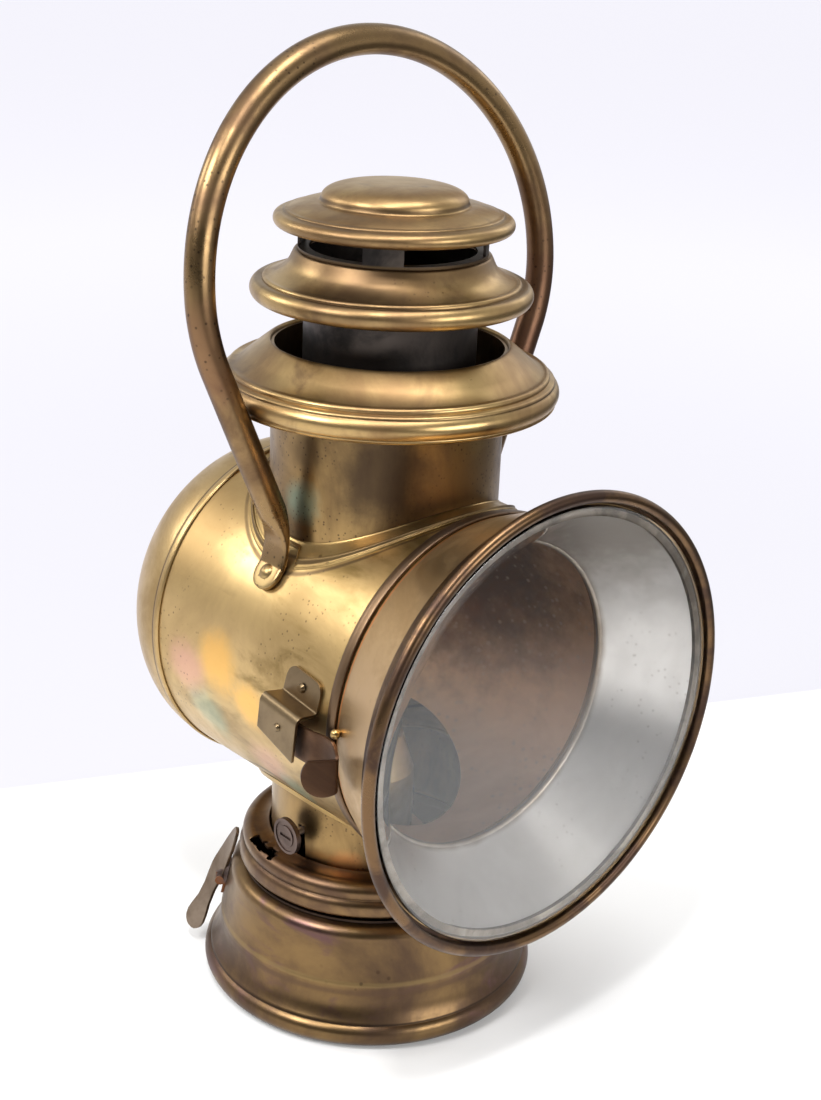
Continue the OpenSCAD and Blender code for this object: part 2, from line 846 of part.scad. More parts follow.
// Upper neck and chimney

module upper_neck() {
    color(BRASS)
        difference() {
            translate([0, 0, drum_axis_h])
                ring(neck_r, neck_r - neck_wall, skirt_top - canopy_wall - clear - drum_axis_h);
            drum_solid(drum_r + fit / 2);
        }
}

module neck_saddle() {
    color(BRASS)
        difference() {
            saddle(saddle_r, neck_r, 1);
            // Notches where the handle's ears lie on the drum
            for (m = [0, 1])
                mirror([m, 0, 0])
                    translate([ear_top_x - clear, -ear_w / 2 - clear, drum_axis_h])
                        cube([BIG, ear_w + 2 * clear, BIG]);
        }
}

module chimney_skirt() {
    slope_end = [skirt_crease_r, skirt_top - skirt_drop];
    color(BRASS)
        union() {
            spun(concat([[neck_r + fit, skirt_top], slope_end],
                arc([skirt_roll_r, skirt_roll_z], skirt_roll, 80, -85, 12)), canopy_wall);
            bead(skirt_crease_r + 1.2, 1.1, slope_end[1] - 1.1);
            bead(skirt_crease_r + 2.3, 0.8, slope_end[1] - 2.9);
            bead(skirt_roll_r + 1.4, 0.8, skirt_roll_z - skirt_roll + 0.7);
        }
}

module chimney_tube() {
    color(DARK)
        translate([0, 0, tube_bottom])
            ring(tube_r, tube_r - tube_wall, mid_top - tube_bottom - canopy_wall - fit);
}

module chimney_spider() {
    color(DARK)
        translate([0, 0, tube_bottom + spider_up])
            union() {
                ring(tube_r + fit + spider_t, tube_r + fit, spider_h);
                for (i = [0:spider_legs - 1])
                    rotate([0, 0, 90 + i * 360 / spider_legs])
                        translate([tube_r + 2 * fit, -spider_t / 2, 0])
                            cube([neck_r - neck_wall - tube_r - 4 * fit, spider_t, spider_h]);
            }
}

module middle_canopy() {
    color(BRASS)
        union() {
            // Sleeve on the chimney tube and the flat lip over it
            translate([0, 0, mid_top - 9])
                ring(tube_r + fit + canopy_wall, tube_r + fit, 9);
            translate([0, 0, mid_top - canopy_wall])
                ring(mid_top_r, tube_r - 1, canopy_wall);
            spun(concat(bend([mid_top_r, mid_top], [mid_top_r + 1.8, mid_top - mid_drop + 2],
                [mid_crease_r, mid_top - mid_drop]),
                arc([mid_crease_r + 1.5, mid_roll_z], mid_roll, 95, -85, 12)), canopy_wall);
            bead(mid_crease_r + 0.4, 0.7, mid_top - mid_drop - 0.5);
        }
}

module crown_gallery() {
    r = gallery_r;
    window = 360 / strips - strip_w / r * 180 / PI;
    color(DARK)
        translate([0, 0, mid_top])
            difference() {
                ring(r, r - gallery_lip, gallery_h);
                translate([0, 0, gallery_t])
                    cylinder(r = r - gallery_t, h = gallery_h - 2 * gallery_t);
                for (i = [0:strips - 1])
                    rotate([0, 0, strip_turn + (i + 0.5) * 360 / strips - window / 2])
                        translate([0, 0, gallery_t])
                            rotate_extrude(angle = window)
                                translate([r - 2, 0])
                                    square([4, gallery_h - 2 * gallery_t]);
            }
}

module top_cap() {
    edge_z = cap_z - cap_brim_drop;
    color(BRASS)
        spun(concat(
            [[0.01, cap_z + cap_dome_h], [cap_dome_r * 0.35, cap_z + cap_dome_h * 0.985]],
            bend([cap_dome_r * 0.66, cap_z + cap_dome_h * 0.9],
                [cap_dome_r - 0.9, cap_z + cap_dome_h * 0.72], [cap_dome_r, cap_z], 5),
            [brim_in + [0, cap_z], brim_out + [0, cap_z]],
            arc([cap_brim_r + 1.2, edge_z - cap_roll - 0.2], cap_roll, 105, -80, 10)), canopy_wall);
}

// Handle

// Half of the handle from its top down to an ear, as points of x, height, half thickness, half
// width and squareness of the section
function half_handle() = concat(
    [for (i = [0:10]) tube_point([0, hoop_z], hoop_r, 90 - 9 * i)],
    [for (i = [1:3]) tube_point([shoulder_x, hoop_z], shoulder_r, -leg_a * i / 3)],
    [for (i = [0:3]) tube_point([leg_x + foot_bend, foot_z], foot_bend, 180 - leg_a * (1 - i / 4))],
    [[leg_x, foot_z, handle_tube, handle_tube, 1],
        [leg_x, (foot_z + foot_top) / 2, handle_tube * 0.85, handle_tube * 1.04, 0.9],
        [leg_x + 0.2, foot_top, handle_tube * 0.55, handle_tube * 1.1, 0.75]],
    [for (a = [foot_turn - 0.3 * ear_rivet_turn, foot_turn - 0.8 * ear_rivet_turn, rivet_a])
        ear_point(a, 1)],
    [for (b = [30, 52, 70, 84])
        ear_point(rivet_a - ear_w / 2 / ear_path_r * sin(b) * 180 / PI, cos(b))]);

function tube_point(c, r, a) = [c[0] + r * cos(a), c[1] + r * sin(a), handle_tube, handle_tube, 1];

function ear_point(a, w) =
    [ear_path_r * cos(a), drum_axis_h + ear_path_r * sin(a), ear_t / 2, ear_w / 2 * w, 0.4];

// One ring of the section at point p of the path, whose neighbours are a and b
function section(p, a, b, n) = let (d = [b[0] - a[0], b[1] - a[1]], u = d / norm(d))
    [for (i = [0:n - 1]) let (q = 360 * i / n, c = cos(q), s = sin(q),
        t = p[2] * sign(c) * pow(abs(c), p[4]), w = p[3] * sign(s) * pow(abs(s), p[4]),
        rise = max(0, p[1] - t * u[0] - foot_top) / handle_rise)
            [p[0] + t * u[1] + rise * handle_sway, w + pow(rise, 2) * handle_lean, p[1] - t * u[0]]];

module handle() {
    n = 20;
    half = half_handle();
    left = [for (p = backwards(half)) [-p[0], p[1], p[2], p[3], p[4]]];
    path = concat(left, [for (i = [1:len(half) - 1]) half[i]]);
    m = len(path);
    rings = [for (i = [0:m - 1]) section(path[i], path[max(0, i - 1)], path[min(m - 1, i + 1)], n)];
    color(BRONZE)
        polyhedron([for (r = rings) for (q = r) q], concat(
            [[for (i = [0:n - 1]) i], [for (i = [n - 1:-1:0]) (m - 1) * n + i]],
            [for (k = [0:m - 2]) for (i = [0:n - 1]) let (j = (i + 1) % n)
                [k * n + j, k * n + i, (k + 1) * n + i]],
            [for (k = [0:m - 2]) for (i = [0:n - 1]) let (j = (i + 1) % n)
                [k * n + j, (k + 1) * n + i, (k + 1) * n + j]]));
}

module handle_rivets() {
    color(BRONZE)
        for (m = [0, 1])
            mirror([m, 0, 0])
                translate([0, 0, drum_axis_h])
                    rotate([0, 90 - rivet_a, 0])
                        translate([0, 0, ear_path_r + ear_t / 2 + fit / 2])
                            intersection() {
                                translate([0, 0, -ear_rivet_head * 0.9])
                                    sphere(r = ear_rivet_head * 1.35, $fn = 48);
                                cylinder(r = ear_rivet_head, h = 3, $fn = 48);
                            }
}

// Door

function cone_r(h) = cone_back_r + cone_slope * (h - door_back);

module door_cone() {
    across_wall = cone_wall * norm([1, cone_slope]);
    color(BRASS)
        on_drum()
            rotate_extrude()
                polygon([[cone_back_r, door_back], [cone_r(cone_front), cone_front],
                    [cone_r(cone_front) - across_wall, cone_front], [cone_back_r - across_wall, door_back]]);
}

module front_rim() {
    color(BRONZE)
        on_drum()
            difference() {
                bead(rim_r, rim_bead, rim_h);
                // Seat of the glass
                translate([0, 0, glass_back - 2])
                    cylinder(r = glass_r + fit, h = glass_edge + 2 + 2 * fit);
                // Seat of the cone's edge
                rotate_extrude()
                    polygon([[0, 0], [cone_back_r + fit, door_back],
                        [cone_r(cone_front) + fit, cone_front + fit], [0, cone_front + fit]]);
            }
}

module front_glass() {
    color("#cfe0e0", 0.4)
        on_drum()
            rotate_extrude()
                polygon([[0, glass_back], [glass_r, glass_back], [glass_r, glass_back + glass_edge],
                    [glass_r - bevel_w, glass_front], [0, glass_front]]);
}

module glass_retainer() {
    low = glass_back - fit - retainer_t;
    r = cone_r(low) - cone_wall - 2 * fit;
    color(BRONZE)
        on_drum()
            translate([0, 0, low])
                ring(r, r - 2, retainer_t);
}

module hood_reflector() {
    front_h = glass_back - retainer_t - silver_wall - 3 * fit;
    color(SILVER)
        on_drum()
            union() {
                spun([[hood_inner_r + hood_roll, hood_back + silver_wall],
                    [cone_r(front_h) - cone_wall - 2 * fit, front_h]], -silver_wall);
                bead(hood_inner_r + hood_roll, hood_roll, hood_back);
            }
}

module door_ring() {
    color(BRONZE)
        on_drum()
            translate([0, 0, door_back])
                ring(cone_back_r - cone_wall - fit, hood_inner_r + hood_roll, door_ring_t);
}

module knuckle(z) {
    translate([pin_x, pin_y, drum_axis_h + z])
        cylinder(r = knuckle_r, h = knuckle_len, $fn = 48);
}

module pin_bore(r) {
    translate([pin_x, pin_y, drum_axis_h - BIG / 2])
        cylinder(r = r, h = BIG, $fn = 48);
}

module drum_hinge_leaf() {
    z = -knuckle_len / 2;
    color(BRONZE)
        difference() {
            union() {
                knuckle(z);
                drum_skin(leaf_t)
                    translate([drum_r / 2, -drum_front + 0.4, drum_axis_h + z])
                        cube([drum_r, leaf_len, knuckle_len]);
                translate([drum_r + fit, pin_y + 0.6, drum_axis_h + z])
                    cube([pin_x - drum_r - fit - pin_r - 0.4, 2, knuckle_len]);
            }
            pin_bore(pin_r + running);
            drum_solid(drum_r + fit);
        }
}

module door_hinge_leaf() {
    color(BRONZE)
        difference() {
            union() {
                for (z = [-1.5 * knuckle_len - knuckle_gap, 0.5 * knuckle_len + knuckle_gap])
                    union() {
                        knuckle(z);
                        translate([pin_x - knuckle_r, pin_y - 2.4, drum_axis_h + z])
                            cube([knuckle_r, 2.4, knuckle_len]);
                        translate([0, 0, drum_axis_h + z])
                            linear_extrude(height = knuckle_len)
                                polygon([[pin_x - knuckle_r, pin_y - 0.4],
                                    [pin_x - knuckle_r + 1.4, pin_y - 0.4],
                                    [cone_r(-pin_y + leaf_len) + leaf_t, pin_y - leaf_len],
                                    [cone_r(-pin_y + leaf_len) - 2, pin_y - leaf_len],
                                    [cone_back_r - 2, pin_y - 1]]);
                    }
            }
            pin_bore(pin_r + running);
            on_drum()
                rotate_extrude()
                    polygon([[0, door_back - 2], [cone_back_r + fit - cone_slope * 2, door_back - 2],
                        [cone_r(rim_h) + fit, rim_h], [0, rim_h]]);
        }
}

module hinge_pin() {
    half = 1.5 * knuckle_len + knuckle_gap;
    color(DARK)
        translate([pin_x, pin_y, drum_axis_h - half])
            union() {
                translate([0, 0, -0.9])
                    cylinder(r = pin_r + 0.6, h = 0.7, $fn = 32);
                translate([0, 0, 2 * half + 0.2])
                    cylinder(r = pin_r + 0.6, h = 0.7, $fn = 32);
                translate([0, 0, -0.9])
                    cylinder(r = pin_r, h = 2 * half + 2, $fn = 48);
            }
}

// Latch

module latch_frame(turn) {
    translate([0, -latch_y, latch_z])
        rotate([turn, 0, 0])
            children();
}

// Outline of the tab that is riveted to the drum, its round corners up
module tab_shape() {
    half = tab_w / 2;
    translate([-half, -tab_h / 2])
        square([tab_w, tab_h - tab_corner]);
    translate([-half + tab_corner, -tab_h / 2])
        square([tab_w - 2 * tab_corner, tab_h]);
    for (s = [-1, 1])
        translate([s * (half - tab_corner), tab_h / 2 - tab_corner])
            circle(r = tab_corner, $fn = 32);
}

module latch_cover() {
    face = cover_x;
    bottom = -cover_front_h - 2;
    web = tab_h / 2 - 0.6;
    color(BRONZE)
        difference() {
            union() {
                drum_skin(cover_t)
                    latch_frame(0)
                        rotate([0, -90, 0])
                            rotate([0, 0, -90])
                                linear_extrude(height = BIG)
                                    tab_shape();
                latch_frame(cover_turn)
                    intersection() {
                        translate([0, cover_w / 2, 0])
                            rotate([90, 0, 0])
                                linear_extrude(height = cover_w)
                                    polygon([[-drum_r + 2, -web], [-drum_r - 1.6, -web],
                                        [-face + 1.4, 1.4 - web], [-face, -web], [-face, bottom],
                                        [-face + cover_t, bottom], [-face + cover_t, -web - 0.4],
                                        [-face + 1.6, 0.4 - web], [-drum_r - 1.6, -web - cover_t],
                                        [-drum_r + 2, -web - cover_t]]);
                        translate([-BIG, 0, 0])
                            rotate([90, 0, 90])
                                linear_extrude(height = BIG)
                                    polygon([[-cover_w / 2, 0], [-cover_w / 2, -cover_front_h],
                                        [cover_w / 2, -cover_rear_h], [cover_w / 2, 0]]);
                    }
            }
            drum_solid(drum_r + fit / 2);
        }
}

module latch_rivets() {
    color(DARK)
        union() {
            latch_frame(0)
                translate([-sqrt(pow(drum_r + fit + cover_t, 2) - pow(latch_up + 0.6, 2)) - 0.2, 0, 0.6])
                    rotate([0, -90, 0])
                        cylinder(r1 = 1.5, r2 = 1, h = 0.9, $fn = 32);
            latch_frame(cover_turn)
                translate([-cover_x - fit / 2, -0.5, -9.5])
                    rotate([0, -90, 0])
                        cylinder(r1 = 1.3, r2 = 0.9, h = 0.7, $fn = 32);
        }
}

module latch_spring() {
    strip_rear = latch_y - 5;
    color(DARK)
        union() {
            translate([-strip_x, -strip_front, strip_low])
                cube([latch_strip_t, strip_front - strip_rear, latch_strip_h]);
            // Foot of the strip on the drum
            difference() {
                translate([-strip_x, -strip_rear - latch_foot, strip_low])
                    cube([strip_x - drum_r + 2, latch_foot, latch_strip_h]);
                drum_solid(drum_r + clear);
            }
            translate([-strip_x + latch_strip_t / 2, -strip_front + thumb_t / 2, 0])
                rotate([90, 0, 90 + thumb_turn])
                    translate([0, 0, -thumb_t / 2])
                        linear_extrude(height = thumb_t)
                            intersection() {
                                translate([thumb_in, strip_low + 3])
                                    circle(r = thumb_r);
                                translate([0, strip_low - thumb_r])
                                    square([BIG, 3 * thumb_r]);
                            }
        }
}

module latch_stud() {
    h = door_back + 2;
    z = latch_z - 5.5;
    x = sqrt(pow(cone_r(h), 2) - pow(z - drum_axis_h, 2));
    color(BRONZE)
        difference() {
            translate([-x - 1.5, -h, z])
                rotate([0, 90, 0])
                    union() {
                        cylinder(r = stud_r, h = 3, $fn = 32);
                        sphere(r = stud_r + 0.35, $fn = 32);
                    }
            on_drum()
                rotate_extrude()
                    polygon([[0, door_back - 1], [cone_back_r + fit - cone_slope, door_back - 1],
                        [cone_r(rim_h) + fit, rim_h], [0, rim_h]]);
        }
}

font_shell();
font_top();
font_bottom();
burner_collar();
burner_body();
wick_tube();
wick();
wick_spindle();
wick_knob();
clip_bracket();
clip_pin();
font_clip();
lower_collar();
lower_neck();
lower_saddle();
drum_shell();
rear_dome();
drum_front_ring();
reflector_bowl();
upper_neck();
neck_saddle();
chimney_skirt();
chimney_tube();
chimney_spider();
middle_canopy();
crown_gallery();
top_cap();
handle();
handle_rivets();
door_cone();
front_rim();
front_glass();
glass_retainer();
hood_reflector();
door_ring();
door_hinge_leaf();
drum_hinge_leaf();
hinge_pin();
latch_cover();
latch_rivets();
latch_spring();
latch_stud();
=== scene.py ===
# %% [markdown]
# # A brass lamp from an early motor car
# The lamp is made of thin sheet: spun canopies, a rolled drum with a domed back, a tubular
# handle, a flared door with a thick glass and a round font at the foot. Its measured solids
# come in as a frame that stays where it is. This lesson dresses them: it replaces the spun and
# bent pieces by smooth surfaces and gives every piece an aged metal finish.

# %% Load the frame
import math

import bmesh
import bpy
import numpy as np
from mathutils import Matrix, Vector


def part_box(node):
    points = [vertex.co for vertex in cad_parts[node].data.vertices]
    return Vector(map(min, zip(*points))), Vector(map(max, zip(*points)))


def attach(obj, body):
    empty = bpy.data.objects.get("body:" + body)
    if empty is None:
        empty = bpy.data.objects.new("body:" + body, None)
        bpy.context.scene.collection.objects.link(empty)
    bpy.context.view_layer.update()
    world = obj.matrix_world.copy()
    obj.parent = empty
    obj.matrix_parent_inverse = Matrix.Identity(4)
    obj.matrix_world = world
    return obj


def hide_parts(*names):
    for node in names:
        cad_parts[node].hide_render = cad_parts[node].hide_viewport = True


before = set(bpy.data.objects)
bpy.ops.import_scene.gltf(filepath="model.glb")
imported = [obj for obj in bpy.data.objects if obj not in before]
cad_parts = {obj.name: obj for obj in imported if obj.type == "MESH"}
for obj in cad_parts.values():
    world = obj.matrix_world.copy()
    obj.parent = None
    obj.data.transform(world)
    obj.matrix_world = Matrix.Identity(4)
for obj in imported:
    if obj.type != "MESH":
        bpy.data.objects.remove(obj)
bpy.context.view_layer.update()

MM = 0.001

# %% [markdown]
# ## The sizes that the new pieces share
# A new piece has to meet the solids, so its driving sizes are read from their boxes and not
# typed again. All of them are kept in millimetres, and a mesh is scaled to metres at the end.


# %% Read the shared sizes
def edges(node):
    """Lowest and highest corner of a solid in millimetres."""
    low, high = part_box(node)
    return np.array(low) / MM, np.array(high) / MM


drum_low, drum_high = edges("drum_shell")
DRUM_R = (drum_high[0] - drum_low[0]) / 2
DRUM_Z = (drum_high[2] + drum_low[2]) / 2
DRUM_FRONT = -drum_low[1]
NECK_R = edges("upper_neck")[1][0]
LOW_NECK_R = edges("lower_neck")[1][0]
rim_low, rim_high = edges("front_rim")
RIM_BEAD = 2.6
RIM_R = (rim_high[0] - rim_low[0]) / 2 - RIM_BEAD
RIM_H = -rim_low[1] - RIM_BEAD
cone_low, cone_high = edges("door_cone")
CONE_BACK_H, CONE_FRONT_H = -cone_high[1], -cone_low[1]
CONE_FRONT_R = (cone_high[0] - cone_low[0]) / 2
CONE_BACK_R = 54.0
FIT = 0.1
SKIRT_TOP = edges("chimney_skirt")[1][2]
MID_TOP = edges("middle_canopy")[1][2]
CAP_TOP = edges("top_cap")[1][2]
TUBE_R = edges("chimney_tube")[1][0]
print(f"drum radius {DRUM_R:.1f}, axis at {DRUM_Z:.1f}, neck {NECK_R:.1f}, rim {RIM_R:.1f}")

# %% [markdown]
# ## Camera
# The view is fixed by where the eye is, where it looks and how it is rolled. A long lens from
# half a metre away keeps the near rim only a little larger than the rest.

# %% Place the camera
LENS_MM = 57.27
EYE = Vector((-0.33054, -0.37523, 0.33819))
LOOK_TURN, LOOK_DOWN, ROLL = 42.38, 21.11, 2.53


def camera_axes(turn, down, roll):
    """Right, up and back: the view leaves +Y by turn towards +X and dips by down, then rolls."""
    turn, down, roll = (math.radians(x) for x in (turn, down, roll))
    view = Vector((math.sin(turn) * math.cos(down), math.cos(turn) * math.cos(down), -math.sin(down)))
    flat = view.cross(Vector((0, 0, 1))).normalized()
    rise = flat.cross(view)
    right = flat * math.cos(roll) + rise * math.sin(roll)
    return right, right.cross(view), -view


camera = bpy.data.objects.new("camera", bpy.data.cameras.new("camera"))
camera.data.lens = LENS_MM
camera.data.sensor_width = 36
camera.data.clip_start = 0.01
axes = Matrix(camera_axes(LOOK_TURN, LOOK_DOWN, ROLL)).transposed()
camera.matrix_world = Matrix.Translation(EYE) @ axes.to_4x4()
bpy.context.scene.collection.objects.link(camera)
bpy.context.scene.camera = camera
print("camera at", tuple(round(x, 3) for x in EYE))

# %% [markdown]
# ## Helpers that turn numbers into meshes
# Nearly every piece here is a grid of points: one parameter runs along a profile and the other
# round an axis or along a path. Such a grid is computed as whole arrays, so that a formula is
# all there is to read, and a second array lists its quads.


# %% Profiles
def arc(centre, radius, start, end, steps=12):
    """Centre + radius (cos a, sin a), with a from start to end in degrees."""
    a = np.radians(np.linspace(start, end, steps))
    return np.array(centre) + radius * np.stack([np.cos(a), np.sin(a)], 1)


def bend(a, m, b, steps=16):
    """A quadratic curve that leaves a towards m and reaches b."""
    t = np.linspace(0, 1, steps)[:, None]
    return np.array(a) * (1 - t) ** 2 + np.array(m) * 2 * t * (1 - t) + np.array(b) * t**2


def softened(points, reach, steps=7):
    """A polyline with round corners: each is cut off by reach and bridged by a quadratic curve."""
    p = np.array(points, float)
    reach = np.broadcast_to(reach, len(p))
    parts = [p[:1]]
    for before, corner, after, r in zip(p[:-2], p[1:-1], p[2:], reach[1:-1]):
        back, on = before - corner, after - corner
        back_len, on_len = np.linalg.norm(back), np.linalg.norm(on)
        start = corner + back / back_len * min(r, 0.48 * back_len)
        end = corner + on / on_len * min(r, 0.48 * on_len)
        parts.append(bend(start, corner, end, steps))
    return np.concatenate(parts + [p[-1:]])


def sheet(face, thick):
    """Closed profile of a sheet: its face, a round edge, the face moved thick to its right-hand
    side, and a round edge again."""
    run = np.gradient(face, axis=0)
    run /= np.linalg.norm(run, axis=1, keepdims=True)
    side = np.stack([run[:, 1], -run[:, 0]], 1)
    a = np.linspace(0, np.pi, 8)[1:-1, None]
    half = thick / 2
    far = face[-1] + half * (side[-1] * (1 - np.cos(a)) + run[-1] * np.sin(a))
    near = face[0] + half * (side[0] * (1 + np.cos(a)) - run[0] * np.sin(a))
    return np.concatenate([face, far, (face + thick * side)[::-1], near])


# %% Grids
def lattice(rows, columns, wrap_rows=False, wrap_columns=False):
    """Quads of a grid whose point (i, j) is number i * columns + j. A wrapped side closes up."""
    i = np.arange(rows if wrap_rows else rows - 1)[:, None]
    j = np.arange(columns if wrap_columns else columns - 1)[None, :]
    below, beside = (i + 1) % rows, (j + 1) % columns
    corners = (i * columns + j, i * columns + beside, below * columns + beside, below * columns + j)
    return np.stack(corners, -1).reshape(-1, 4)


def spun(loop, turns=180, closed=True):
    """Surface of revolution of a profile (r, h) about the chimney: (r cos a, r sin a, h)."""
    a = 2 * np.pi * np.arange(turns) / turns
    r, h = loop[:, :1], loop[:, 1:]
    grid = np.stack([r * np.cos(a), r * np.sin(a), h + 0 * a], -1)
    return grid, lattice(len(loop), turns, closed, True)


def on_drum(grid):
    """Lays a surface that was spun upright along the drum: (x, y, h) goes to (x, -h, y + axis)."""
    return np.stack([grid[..., 0], -grid[..., 2], grid[..., 1] + DRUM_Z], -1)


def capped(grid):
    """Closes both ends of a tube of sections: each end gets the middle of its section."""
    middle = grid[[0, -1]].mean(1, keepdims=True).repeat(grid.shape[1], 1)
    return np.concatenate([middle[:1], grid, middle[1:]])


# %% Meshes
def piece(name, body, finish, grid, quads, stands_for=(), sharp=38, wall=None):
    """Puts a grid in millimetres into a mesh, closes its seams and poles, turns its faces
    outwards, and lets it ride on a body in place of the solids that it stands for. A single
    sheet gets a wall, half of it to each side, and small round edges."""
    mesh = bpy.data.meshes.new(name)
    mesh.from_pydata((grid.reshape(-1, 3) * MM).tolist(), [], quads.tolist())
    work = bmesh.new()
    work.from_mesh(mesh)
    bmesh.ops.remove_doubles(work, verts=work.verts, dist=1e-6)
    bmesh.ops.recalc_face_normals(work, faces=work.faces)
    work.to_mesh(mesh)
    work.free()
    mesh.shade_smooth()
    mesh.set_sharp_from_angle(angle=math.radians(sharp))
    mesh.materials.append(finish)
    made = bpy.data.objects.new(name, mesh)
    bpy.context.scene.collection.objects.link(made)
    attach(made, body)
    if stands_for:
        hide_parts(*stands_for)
    if wall:
        plate = made.modifiers.new("wall", "SOLIDIFY")
        plate.thickness, plate.offset, plate.use_even_offset = wall * MM, 0, True
        edge = made.modifiers.new("round_edge", "BEVEL")
        edge.width, edge.segments, edge.limit_method = wall * 0.3 * MM, 2, "ANGLE"
        edge.angle_limit = math.radians(50)
    print(f"{name}: {len(mesh.polygons)} faces on {body}")
    return made


# %% [markdown]
# ## Node helpers
# A finish is a small network. Writing one link a line would hide what it does, so a helper adds
# a node with its inputs in one call, where an input may be a number or another node's output.


# %% Add nodes in one call
def node(tree, kind, inputs=None, **settings):
    """A new node. An input given as a socket is linked, and any other value is set."""
    made = tree.nodes.new(kind)
    for key, value in settings.items():
        setattr(made, key, value)
    for key, value in (inputs or {}).items():
        if isinstance(value, bpy.types.NodeSocket):
            tree.links.new(value, made.inputs[key])
        else:
            made.inputs[key].default_value = value
    return made


def maths(tree, operation, a, b=0.0, clamp=False):
    return node(tree, "ShaderNodeMath", {0: a, 1: b}, operation=operation, use_clamp=clamp).outputs[0]


def eased(tree, value, low, high, to_low=0.0, to_high=1.0):
    """A smooth step from to_low to to_high while value goes from low to high."""
    made = node(tree, "ShaderNodeMapRange", {"Value": value, "From Min": low, "From Max": high,
                                             "To Min": to_low, "To Max": to_high},
                interpolation_type="SMOOTHSTEP")
    return made.outputs["Result"]


def mixed(tree, share, a, b):
    """Colour a where share is 0 and colour b where it is 1."""
    a, b = (c if isinstance(c, bpy.types.NodeSocket) else (*c, 1) for c in (a, b))
    return node(tree, "ShaderNodeMix", {0: share, 6: a, 7: b}, data_type="RGBA").outputs[2]


def vector_maths(tree, operation, a, b):
    return node(tree, "ShaderNodeVectorMath", {0: a, 1: b}, operation=operation)


def new_group(name, inputs, outputs):
    """A shader node group with named sockets. Returns it, its input sockets by name, and a
    function that links a socket to an output."""
    kinds = {"value": "NodeSocketFloat", "vector": "NodeSocketVector", "colour": "NodeSocketColor"}
    tree = bpy.data.node_groups.new(name, "ShaderNodeTree")
    for label, (kind, value) in inputs.items():
        made = tree.interface.new_socket(label, in_out="INPUT", socket_type=kinds[kind])
        if value is not None:
            made.default_value = value
    for label, kind in outputs.items():
        tree.interface.new_socket(label, in_out="OUTPUT", socket_type=kinds[kind])
    start, end = tree.nodes.new("NodeGroupInput"), tree.nodes.new("NodeGroupOutput")
    return tree, start.outputs, lambda label, socket: tree.links.new(socket, end.inputs[label])


def use_group(tree, group, inputs):
    made = tree.nodes.new("ShaderNodeGroup")
    made.node_tree = group
    for key, value in inputs.items():
        if isinstance(value, bpy.types.NodeSocket):
            tree.links.new(value, made.inputs[key])
        else:
            made.inputs[key].default_value = value
    return made.outputs


# %% [markdown]
# ## Floor and light
# The lamp stands on a plain white sheet, which is a touch cooler behind it. Brass shows what it
# reflects, so the light is planned as reflections: white all round, a dark room behind the
# camera that gives the metal its depth, and softboxes above for the bright patches.


# %% Floor
FLOOR_HALF = 12.0
BACK_WAY, BACK_FROM = (0.383, 0.9238, 0), 0.1418
SCREEN_WAY, SCREEN_FROM, SCREEN_TO, SCREEN_SHARE = (0.67, -0.74, 0), 0.24, 0.42, 0.9


def white_sheet():
    """White paper, and a cooler white from a straight line behind the lamp on. Far from the
    lamp, where little light falls, the paper gets more of its white from a glow. Reflections
    find a dark screen on the front right, which keeps the door's glass clear."""
    made = bpy.data.materials.new("white_sheet")
    made.use_nodes = True
    tree = made.node_tree
    shader = tree.nodes["Principled BSDF"]
    place = node(tree, "ShaderNodeTexCoord").outputs["Object"]
    away = node(tree, "ShaderNodeVectorMath", {0: place}, operation="LENGTH").outputs["Value"]
    far = eased(tree, away, 0.25, 1.3)
    behind = vector_maths(tree, "DOT_PRODUCT", place, BACK_WAY).outputs["Value"]
    share = eased(tree, behind, BACK_FROM - 0.0015, BACK_FROM + 0.0015)
    base = mixed(tree, share, mixed(tree, far, (0.66, 0.66, 0.66), (0.30, 0.30, 0.30)), (0.18, 0.18, 0.185))
    glow = mixed(tree, share, mixed(tree, far, (0.16, 0.16, 0.16), (0.76, 0.76, 0.76)),
                 mixed(tree, far, (0.57, 0.56, 0.62), (0.74, 0.73, 0.80)))
    seen = node(tree, "ShaderNodeLightPath").outputs["Is Camera Ray"]
    on_screen = vector_maths(tree, "DOT_PRODUCT", place, SCREEN_WAY).outputs["Value"]
    screen = maths(tree, "MULTIPLY", eased(tree, on_screen, SCREEN_FROM, SCREEN_TO, 0, SCREEN_SHARE),
                   maths(tree, "SUBTRACT", 1, seen))
    tree.links.new(mixed(tree, screen, base, (0, 0, 0)), shader.inputs["Base Color"])
    tree.links.new(mixed(tree, screen, glow, (0, 0, 0)), shader.inputs["Emission Color"])
    shader.inputs["Emission Strength"].default_value = 1.0
    shader.inputs["Roughness"].default_value = 0.7
    return made


mesh = bpy.data.meshes.new("floor")
mesh.from_pydata([(x * FLOOR_HALF, y * FLOOR_HALF, 0) for x, y in ((-1, -1), (1, -1), (1, 1), (-1, 1))],
                 [], [(0, 1, 2, 3)])
mesh.materials.append(white_sheet())
floor = bpy.data.objects.new("floor", mesh)
bpy.context.scene.collection.objects.link(floor)
bpy.context.scene.view_settings.view_transform = "Standard"
print("floor made")

# %% Lights


def softbox(name, place, size, power, aim=(0, 0, 0.13), tint=(1, 1, 1)):
    """A rectangular area light at place that faces aim."""
    lamp = bpy.data.lights.new(name, "AREA")
    lamp.shape = "RECTANGLE"
    lamp.size, lamp.size_y = size
    lamp.energy = power
    lamp.color = tint
    made = bpy.data.objects.new(name, lamp)
    made.location = place
    made.rotation_euler = (Vector(aim) - Vector(place)).to_track_quat("-Z", "Y").to_euler()
    bpy.context.scene.collection.objects.link(made)
    return made


